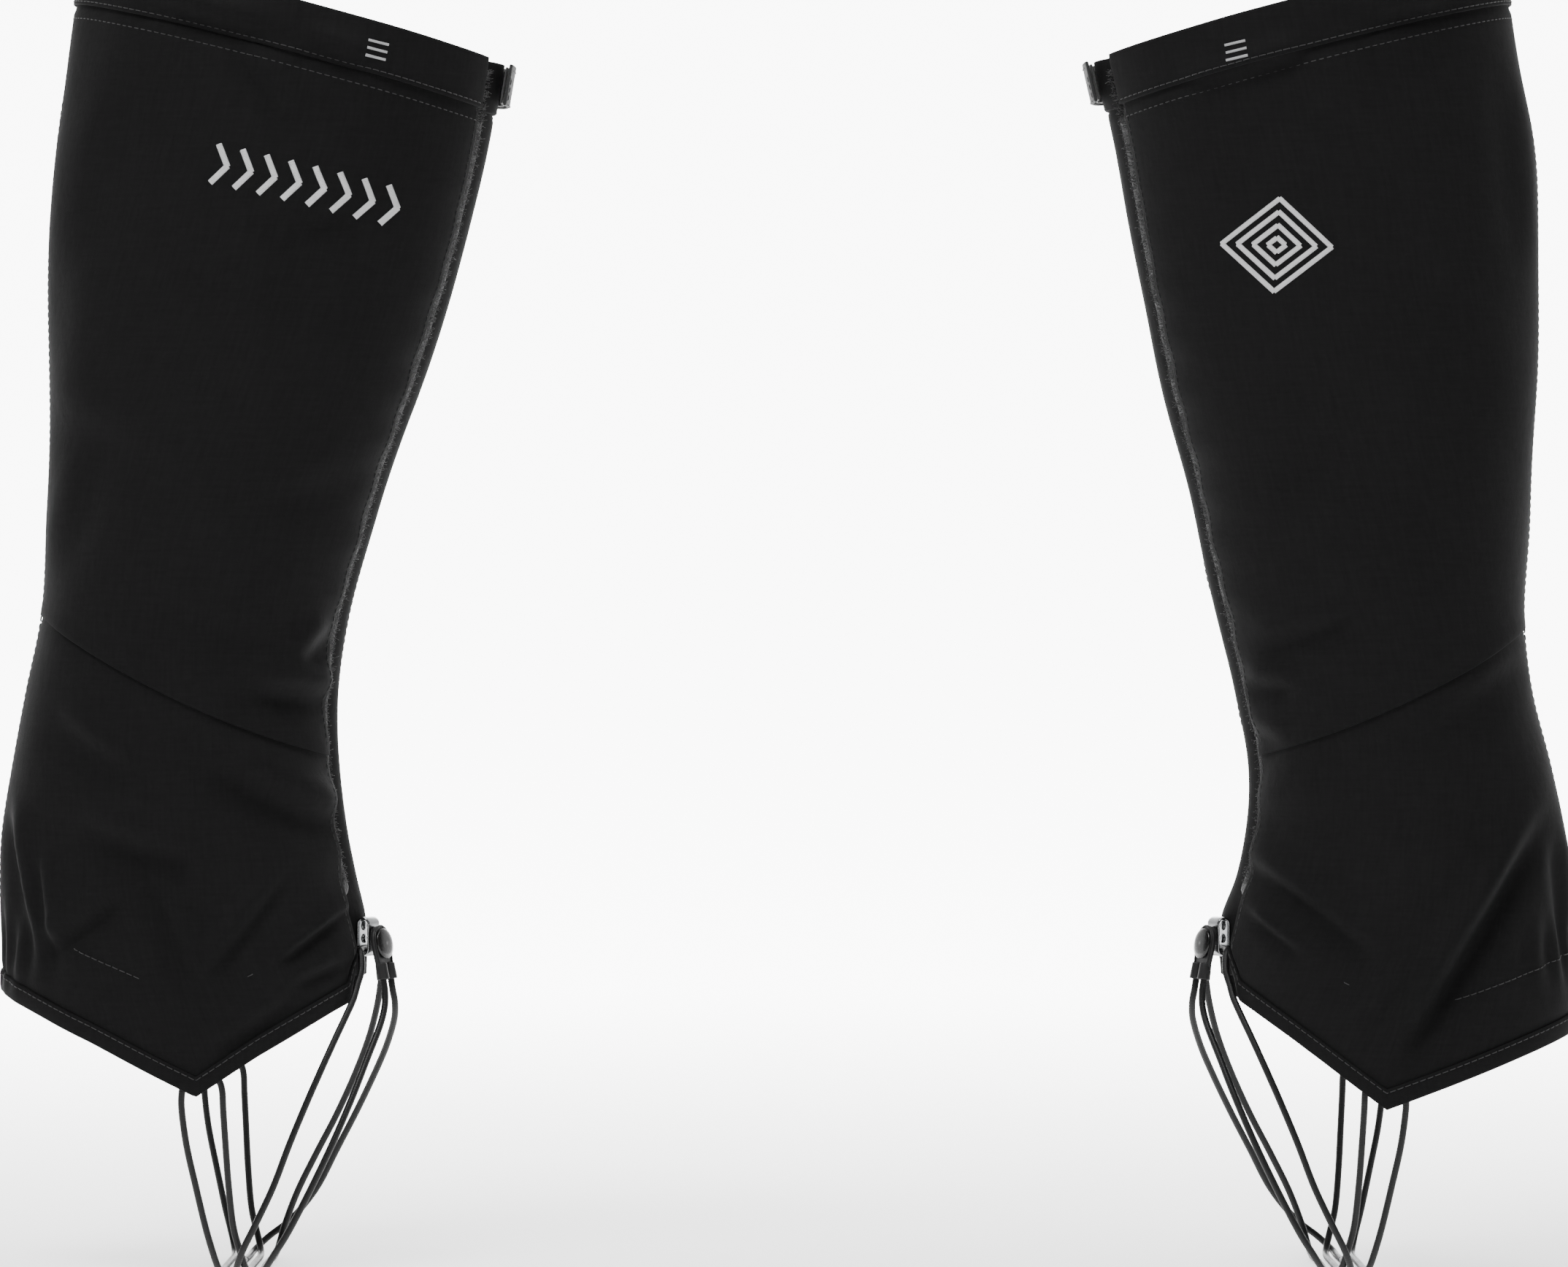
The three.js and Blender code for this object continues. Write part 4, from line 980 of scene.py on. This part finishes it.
# stitches, embroidery and fuzz
stitch = {
    "pitch": 3.1, "length": 2.5, "radius": 0.2, "sink": 0.3, "strapRows": (2.5, 16.5), "strapEnd": 6.4,
    "strapStart": -24,
}
lineSteps = 700
# the rows over the heel's elastic: two ends as (ahead, height)
heelLines = {
    "right": [(-47.7, 129.7, -17.2, 116.9), (21.2, 117.4, 27, 120.3)],
    "left": [(-72, 125.9, -20.9, 108.7), (17.7, 114.2, 23.8, 117.4)],
}


def lineAtHeight(leg, start, end, height):
    # a line round the leg between two angles, at a height that depends on the distance ahead
    s = np.linspace(0, 1, lineSteps)
    z = np.full(lineSteps, float(height(levelGuess)))
    for _ in range(settleSteps):
        angle = start(z) * (1 - s) + end(z) * s
        z = height(leg.localX(angle, z))
    return angle, z


def stitchRow(leg, angle, z, lift):
    # short threads end to end along a line, each sunk into the cloth at its ends
    look = stitch
    skin = leg.point(angle, z)
    run = np.concatenate([[0], np.cumsum(np.linalg.norm(np.diff(skin, axis=0), axis=1))])
    start = np.arange(2.0, run[-1] - look["length"] - 2.0, look["pitch"])
    place = start[:, None] + np.array([0, 0.25, 0.75, 1]) * look["length"]
    a, h = np.interp(place, run, angle), np.interp(place, run, z)
    rise = lift + look["radius"] * 0.55 + leg.relief(a, h) - look["sink"] * np.array([1, 0, 0, 1])
    return threadPart(leg.point(a, h, rise), leg.outward(a[:, 1], h[:, 1]), [look["radius"]] * 4)


def satin(leg, line, width, lift, gap=0.5, radius=0.3):
    # threads laid side by side across a line of (ahead, height) places
    line = np.asarray(line, float)
    run = np.concatenate([[0], np.cumsum(np.linalg.norm(np.diff(line, axis=0), axis=1))])
    at = np.arange(0, run[-1], gap)
    x, z = np.interp(at, run, line[:, 0]), np.interp(at, run, line[:, 1])
    way = unit(np.stack([np.gradient(x), np.gradient(z)], -1))
    offsets = np.array([-0.5, -0.3, 0.3, 0.5]) * width
    px, pz = x[:, None] - way[:, 1:] * offsets, z[:, None] + way[:, :1] * offsets
    a = leg.angleAtX(px, pz)
    rise = lift + leg.relief(a, pz) - np.array([0.4, -0.12, -0.12, 0.4])
    radii = [radius * 0.8, radius, radius, radius * 0.8]
    return threadPart(leg.point(a, pz, rise), leg.outward(a[:, 1], pz[:, 1]), radii)


def turnedLine(line, centre, slope):
    # a drawn line placed on the cloth at a centre and a slope
    c, s = math.cos(math.radians(slope)), math.sin(math.radians(slope))
    x, z = np.asarray(line, float).T
    return np.stack([centre[0] + x * c - z * s, centre[1] + x * s + z * c], -1)


def stitches(side):
    # rows along the cuff, hem, flap's edge, back and underlap's seam, over the heel and round the strap
    leg = legs[side]
    constant = lambda value: (lambda z: value + 0 * z)
    cuffSeam = lambda x: leg.cuffTop(x) - cut["cuffDepth"] + 1.6
    secondSeam = lambda x: leg.cuffTop(x) - cut["secondRow"]
    hemSeam = lambda x: leg.hem(x) + cut["hemDepth"] - 1.4
    frontLine = lambda z: leg.flapEdge(z) + leg.turn(2.6, leg.flapEdge(z), z)
    cuffRise, hemRise, strapRise = (layers[name][0] for name in ("cuff", "hem", "strap"))
    rows = {"outer": [], "inner": []}
    for part, start, end in (
            ("outer", leg.flapEdge, constant(180.0)), ("inner", constant(-9.0), constant(-180.0))):
        for height, lift in ((cuffSeam, cuffRise), (secondSeam, -0.12), (hemSeam, hemRise)):
            rows[part].append(stitchRow(leg, *lineAtHeight(leg, start, end, height), lift))
    z = np.linspace(float(leg.hem(62.0)) + 10, 468, lineSteps)
    rows["outer"].append(stitchRow(leg, frontLine(z), z, -0.12))
    rows["outer"].append(stitchRow(leg, constant(178.4)(z), z, 0))
    rows["inner"].append(stitchRow(leg, constant(-178.4)(z), z, 0))
    rows["inner"].append(stitchRow(leg, constant(-9.6)(z), z, 0))
    for x0, z0, x1, z1 in heelLines[side]:
        t = np.linspace(0, 1, 60)
        x, h = x0 + (x1 - x0) * t, z0 + (z1 - z0) * t
        rows["outer"].append(stitchRow(leg, leg.angleAtX(x, h), h, 0))
    crossing(sweptPiece(f"{side}_outer_seam_stitches", "seam_thread", rows["outer"]), side)
    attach(sweptPiece(f"{side}_inner_seam_stitches", "seam_thread", rows["inner"]), "gaiters")
    # the strap's own rows, along its edges and its end
    parts = []
    for inset in stitch["strapRows"]:
        height = lambda x: leg.cuffTop(x) - 1 - inset
        angle, z = lineAtHeight(leg, constant(-41.0), constant(7.2), height)
        keep = angle > stitch["strapStart"]
        parts.append(stitchRow(leg, angle[keep], z[keep], strapRise))
    x = leg.localX(np.array(stitch["strapEnd"]), np.array(500.0))
    z = np.linspace(float(leg.cuffTop(x)) - 16.5, float(leg.cuffTop(x)) - 3.5, 40)
    parts.append(stitchRow(leg, stitch["strapEnd"] + 0 * z, z, strapRise))
    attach(sweptPiece(f"{side}_strap_stitches", "seam_thread", parts), f"{side}_strap")


# generic marks: where each sits as (ahead, height), its slope in degrees and its size
marks = {
    "right": {"centre": (46, 427), "slope": -13, "count": 8, "pitch": 9.6, "height": 15},
    "left": {"centre": (47.8, 403.6), "slope": 3, "rings": (21, 15, 9, 3.4), "squash": 0.86},
    "small": {"right": (73.5, 479.7), "left": (63.4, 479.2)},
}


def embroidery(side):
    # a row of chevrons on one gaiter and nested diamonds on the other, in satin stitch, and a small print
    leg = legs[side]
    look = marks[side]
    parts = []
    if side == "right":
        for k in range(look["count"]):
            x = (k - (look["count"] - 1) / 2) * look["pitch"]
            h = look["height"] / 2
            chevron = [(x - 2.5, -h), (x + 2.5, 0), (x - 2.5, h)]
            for a, b in zip(chevron, chevron[1:]):
                parts.append(satin(leg, turnedLine([a, b], look["centre"], look["slope"]), 2.6, 0.05))
    else:
        for ring in look["rings"]:
            r, q = ring, ring * look["squash"]
            diamond = [(r, 0), (0, q), (-r, 0), (0, -q), (r, 0)]
            for a, b in zip(diamond, diamond[1:]):
                parts.append(satin(leg, turnedLine([a, b], look["centre"], look["slope"]), 2.0, 0.05))
    crossing(sweptPiece(f"{side}_embroidered_mark", "embroidery_thread", parts), side)
    small = []
    for drop in (-3.0, 0.0, 3.0):
        line = turnedLine([(-4, drop), (4, drop)], marks["small"][side], -12)
        small.append(satin(leg, line, 1.1, 0.75, 0.4, 0.22))
    crossing(sweptPiece(f"{side}_small_printed_mark", "print", small), side)


fuzz = {"loops": 9000, "hooks": 3500, "radius": 0.085, "frontAngle": 9.8, "seeds": {"right": 31, "left": 32}}


def fuzzPieces(side):
    # short bent fibres on the tape that shows in front of the flap's edge, and along the flap's own tape
    leg = legs[side]
    random = np.random.default_rng(fuzz["seeds"][side])

    def fibres(angle, z, lift, reach, flat):
        base = leg.point(angle, z, lift + leg.relief(angle, z))
        out = leg.outward(angle, z)
        lean = random.normal(0, 1, out.shape) * flat
        first = base - out * 0.15
        second = base + (out + lean * 0.5) * (reach * 0.5)[:, None]
        third = base + (out * 0.8 + lean) * reach[:, None]
        paths = np.stack([first, second, third], 1)
        return threadPart(paths, unit(np.cross(out, (0.2, 0.1, 1))), [fuzz["radius"]] * 3, 3)

    n = fuzz["loops"]
    z = random.uniform(153, 476, n)
    edge = leg.flapEdge(z)
    angle = fuzz["frontAngle"] + (edge + 1.5 - fuzz["frontAngle"]) * random.uniform(0, 1, n)
    top = leg.underlapLift(angle, z) + layers["loopTape"][0]
    part = fibres(angle, z, top, random.uniform(0.5, 1.5, n), 0.5)
    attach(sweptPiece(f"{side}_loop_fuzz", "hook_and_loop", [part]), "gaiters")
    n = fuzz["hooks"]
    z = random.uniform(130, 476, n)
    angle = leg.flapEdge(z) + leg.turn(random.uniform(0.2, 2.0, n), leg.flapEdge(z), z)
    under = layers["hookTape"][0] - layers["hookTape"][1]
    part = fibres(angle, z, under, -random.uniform(0.4, 0.9, n), 0.5)
    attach(sweptPiece(f"{side}_hook_fuzz", "hook_and_loop", [part]), f"{side}_flap")


for side in legs:
    stitches(side)
    embroidery(side)
    fuzzPieces(side)
print("threads and fuzz made")

# hook, rivets, tab, button and webbing loops
metalShape = {
    "metal": 1.1, "up": 6.3, "down": 6.8, "gap": 3.6, "curlDrop": 6.5, "curlEnd": -110, "halfWidth": 4.5,
    "corner": 1.4, "rivetHeights": (2.6, -2.4), "lean": 10.0, "hookTop": 2.5, "standoff": 6.3,
}
# the tab's front: half width of its round top, length, half width at its waist's pull and at its foot
tabShape = {"round": 6.4, "length": 20.5, "pull": 6.2, "foot": 4.6, "halfThick": 1.1, "buttonDrop": 7.4}
loopShape = {
    "radius": 2.35, "turn": -318, "tape": 16, "halfWidth": 3.5, "halfThick": 0.62, "ahead": 5, "side": 50.8,
    "height": 80.0,
}


def arc(cx, cz, radius, start, end, count):
    # places round a circle in the plane of out and up, between two angles in degrees
    turn = np.radians(np.linspace(start, end, count))
    return np.stack([cx + radius * np.cos(turn), 0 * turn, cz + radius * np.sin(turn)], -1)


def lathe(rows, origin, axis, up, sides=40):
    # a body of revolution: rows of (distance along the axis, radius)
    rows = np.asarray(rows, float)
    path = origin + rows[:, :1] * axis
    other = np.cross(axis, up)
    offsets = roundOffsets(rows[:, 1], sides)
    return path[None], np.broadcast_to(up, path.shape)[None], np.broadcast_to(other, path.shape)[None], offsets


def roundedRows(rows, radius):
    # corners of a row profile rounded off with a quarter arc's points
    rows = np.asarray(rows, float)
    done = [rows[0]]
    for before, corner, after in zip(rows, rows[1:], rows[2:]):
        a, b = unit(before - corner), unit(after - corner)
        reach = min(radius, 0.45 * np.linalg.norm(before - corner), 0.45 * np.linalg.norm(after - corner))
        t = np.linspace(0, 1, 5)[:, None]
        start, end = corner + a * reach, corner + b * reach
        done.extend(start * (1 - t) ** 2 + 2 * corner * t * (1 - t) + end * t ** 2)
    done.append(rows[-1])
    return np.array(done)


def hardware(side):
    # placed from the tab's hinge: the hook and rivets behind it, the tab and button on it
    spec = metalShape
    hinge = joints[f"{side}_tab_lift"]
    place = np.array(hinge["pos_m"], float) / mm
    axis = unit(np.array(hinge["axis"], float))
    across = -axis
    up = np.array([0, 0, 1.0])
    out = unit(np.cross(across, up))
    origin = place - spec["standoff"] * out - spec["hookTop"] * up
    turn = np.stack([out, across, up])
    metal, bend = spec["metal"], spec["gap"] / 2 + spec["metal"] / 2
    centre = metal + spec["gap"] / 2
    bendZ = spec["up"] - spec["gap"] / 2 - metal
    plateZ = -spec["down"] + (bendZ + spec["down"]) * np.linspace(0, 1, 14) ** 1.6
    plate = np.stack([np.full(14, metal / 2), np.zeros(14), plateZ], -1)
    frontZ = np.linspace(bendZ, -spec["curlDrop"], 8)
    front = np.stack([np.full(8, centre + bend), np.zeros(8), frontZ], -1)
    path = np.concatenate([
        plate[:-1], arc(centre, bendZ, bend, 180, 0, 18)[:-1], front[:-1],
        arc(centre, -spec["curlDrop"], bend, 0, spec["curlEnd"], 18)])
    run = np.concatenate([[0], np.cumsum(np.linalg.norm(np.diff(path, axis=0), axis=1))])
    near = np.clip(np.minimum(run, run[-1] - run) / spec["corner"], 0, 1)
    halfWidths = spec["halfWidth"] - spec["corner"] * (1 - np.sqrt(np.clip(1 - (1 - near) ** 2, 0, 1)))
    thick = metal / 2 * np.clip(0.45 + near * 1.6, 0, 1)
    worldPath = origin + path @ turn
    along = unit(np.gradient(worldPath, axis=0))
    binormals = np.broadcast_to(across, worldPath.shape)
    section = bladeOffsets(halfWidths, thick)
    part = (worldPath[None], np.cross(binormals, along)[None], binormals[None], section)
    hook = sweptPiece(f"{side}_cord_hook_bent", "steel", [part])
    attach(hook, "gaiters")
    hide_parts(f"{side}_cord_hook")
    headRows = roundedRows([
        (-2.95, 0), (-2.95, 1.9), (-2.25, 1.9), (-2.25, 1.0), (1.12, 1.0), (1.12, 1.9), (1.5, 1.85),
        (1.95, 1.1), (2.05, 0)], 0.3)
    for name, height in zip(("upper", "lower"), spec["rivetHeights"]):
        part = lathe(headRows, origin + height * up, out, up)
        rivet = sweptPiece(f"{side}_{name}_rivet_domed", "steel", [part])
        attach(rivet, "gaiters")
        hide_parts(f"{side}_{name}_rivet")
    # the tab hangs in front of the hook, its lower end forward
    lean = math.radians(spec["lean"])
    tabOut = math.cos(lean) * out + math.sin(lean) * up
    tabUp = math.cos(lean) * up - math.sin(lean) * out
    tabTurn = np.stack([tabOut, across, tabUp])
    topRound, length = tabShape["round"], tabShape["length"]
    arcFall = topRound * (1 - np.cos(np.linspace(0, math.pi / 2, 16)))
    fall = np.concatenate([arcFall, np.linspace(topRound, length, 22)[1:]])
    # half widths: a half circle at the top, then a quadratic curve in to the foot
    arcWide = np.sqrt(np.clip(topRound ** 2 - (topRound - fall) ** 2, 0.04, None))
    q = np.clip((fall - topRound) / (length - topRound), 0, 1)
    taper = topRound * (1 - q) ** 2 + 2 * tabShape["pull"] * q * (1 - q) + tabShape["foot"] * q ** 2
    wide = np.where(fall < topRound, arcWide, taper)
    wide[-1] = 4.3
    thickness = np.full(len(fall), tabShape["halfThick"])
    thickness[0], thickness[1], thickness[-1] = 0.5, 0.85, 0.8
    middle = np.stack([np.full(len(fall), tabShape["halfThick"]), 0 * fall, -fall], -1)
    body = place + middle @ tabTurn
    flat = lambda v: np.broadcast_to(v, body.shape)[None]
    parts = [(body[None], flat(tabOut), flat(across), bladeOffsets(wide, thickness, 36, 5.0))]
    # the two sockets for the cord's ends
    for y in (-3.1, 3.1):
        rows = roundedRows([(0, 0), (0, 2.3), (6.5, 2.6), (6.5, 1.75), (2.2, 1.75), (2.2, 0)], 0.5)
        foot = place + np.array([1.6, y, -15.0]) @ tabTurn
        parts.append(lathe(rows, foot, -tabUp, tabOut, 28))
    # a raised rim round the front face
    rimWide, rimFall = np.clip(wide[2:-1] - 0.75, 0.3, None), fall[2:-1]
    outline = np.concatenate([
        np.stack([np.full(len(rimFall), 2.2), -rimWide, -rimFall], -1)[::-1],
        np.stack([np.full(len(rimFall), 2.2), rimWide, -rimFall], -1)])
    rim = place + outline @ tabTurn
    rimNormals = np.broadcast_to(tabOut, rim.shape)
    rimSide = np.cross(unit(np.gradient(rim, axis=0)), rimNormals)
    parts.append((rim[None], rimNormals[None], rimSide[None], roundOffsets(np.full(len(rim), 0.42), 10)))
    tab = sweptPiece(f"{side}_pull_tab_moulded", "moulded_rubber", parts)
    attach(tab, f"{side}_tab")
    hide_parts(f"{side}_pull_tab")
    capRows = np.array([
        (1.2, 0), (1.2, 1.3), (2.4, 1.3), (2.5, 5.4), (2.7, 5.95), (3.0, 6.1), (3.3, 6.0), (3.5, 5.7),
        (3.72, 5.0), (3.9, 4.0), (4.02, 2.7), (4.08, 1.3), (4.1, 0)])
    foot = place + np.array([0, 0, -tabShape["buttonDrop"]]) @ tabTurn
    cap = lathe(capRows, foot, tabOut, tabUp, 56)
    button = sweptPiece(f"{side}_tab_button_domed", "blackened_metal", [cap])
    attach(button, f"{side}_tab")
    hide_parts(f"{side}_tab_button")
    # webbing folded into an eye for the side cord
    leg = legs[side]
    look = loopShape
    for name, way in (("outer", -1), ("inner", 1)):
        eye = arc(0, 0, look["radius"], 0, look["turn"], 40)
        tape = np.stack([np.full(14, look["radius"]), np.zeros(14), np.linspace(look["tape"], 0.1, 14)], -1)
        line = np.concatenate([tape, eye])
        middle = np.array([
            leg.mirror * (look["ahead"] - pairSpacing / 2), way * look["side"], look["height"]])
        line = middle + np.stack([0 * line[:, 0], way * line[:, 0], line[:, 2]], -1)
        along = unit(np.gradient(line, axis=0))
        sideways = np.broadcast_to(np.array([1.0, 0, 0]), line.shape)
        widths = np.full(len(line), look["halfWidth"])
        section = bladeOffsets(widths, np.full(len(line), look["halfThick"]), 24, 4.0)
        loop = sweptPiece(f"{side}_{name}_webbing_loop", "webbing", [
            (line[None], np.cross(sideways, along)[None], sideways[None], section)])
        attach(loop, "gaiters")
        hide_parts(f"{side}_{name}_cord_anchor")


for side in legs:
    hardware(side)
print("hardware made")


# floor, backdrop and light: each lamp has a place, a size and a power
light = {
    "room": 0.2, "backdropGlow": 8.0,
    "lamps": [
        ("key", (-0.7, -1.25, 2.5), (1.1, 0.7), 62.0), ("top", (0.2, -0.3, 2.6), (2.0, 1.0), 36.0),
        ("fill", (1.9, -1.8, 1.0), (1.2, 1.6), 5.0)],
}


def studio():
    # a pale sheet that curves up behind, with large soft lights above, to the sides and in front
    turn = np.radians(np.linspace(0, 90, 24))
    profile = np.concatenate([
        [(-8.0, 0.0)], np.stack([2.0 + 2.0 * np.sin(turn), 2.0 - 2.0 * np.cos(turn)], -1), [(4.0, 9.0)]])
    xs = np.linspace(-9, 9, 2)
    points = [(x, y, z) for y, z in profile for x in xs]
    faces = [(2 * k, 2 * k + 1, 2 * k + 3, 2 * k + 2) for k in range(len(profile) - 1)]
    mesh = bpy.data.meshes.new("backdrop")
    mesh.from_pydata(points, [], faces)
    mesh.polygons.foreach_set("use_smooth", np.ones(len(mesh.polygons), bool))
    f = Finish("pale_backdrop")
    grain = f.noise(f.place(), 6.0, 3.0)
    shade = f.tint(grain, (0.86, 0.86, 0.86), (0.9, 0.9, 0.9))
    across, away, height = f.split(f.place())
    smooth = {"interpolation_type": "SMOOTHSTEP"}
    far = f.add("ShaderNodeMapRange", smooth, {0: away, 1: -0.4, 2: 2.4})
    beside = f.add("ShaderNodeMapRange", smooth, {0: across.size(), 1: 2.6, 2: 1.1})
    under = f.add("ShaderNodeMapRange", smooth, {0: height, 1: 2.8, 2: 1.3})
    glow = f.tint(far * beside * under, (0.09, 0.09, 0.09), (1, 1, 1))
    mesh.materials.append(f.surface(
        Base_Color=shade, Roughness=grain * 0.1 + 0.6,
        Emission_Color=glow, Emission_Strength=light["backdropGlow"]))
    backdrop = bpy.data.objects.new("backdrop", mesh)
    bpy.context.scene.collection.objects.link(backdrop)
    for name, place, size, power in light["lamps"]:
        lamp = bpy.data.lights.new(name, "AREA")
        lamp.shape = "RECTANGLE"
        lamp.size, lamp.size_y = size
        lamp.energy = power
        body = bpy.data.objects.new(name, lamp)
        body.location = place
        toward = np.array([0, 0, 0.25]) - np.array(place)
        body.rotation_euler = mathutils.Vector(toward).to_track_quat("-Z", "Y").to_euler()
        bpy.context.scene.collection.objects.link(body)
    world = bpy.data.worlds.new("white_room")
    world.use_nodes = True
    world.node_tree.nodes["Background"].inputs[0].default_value = (1, 1, 1, 1)
    world.node_tree.nodes["Background"].inputs[1].default_value = light["room"]
    bpy.context.scene.world = world


studio()
print("studio made")
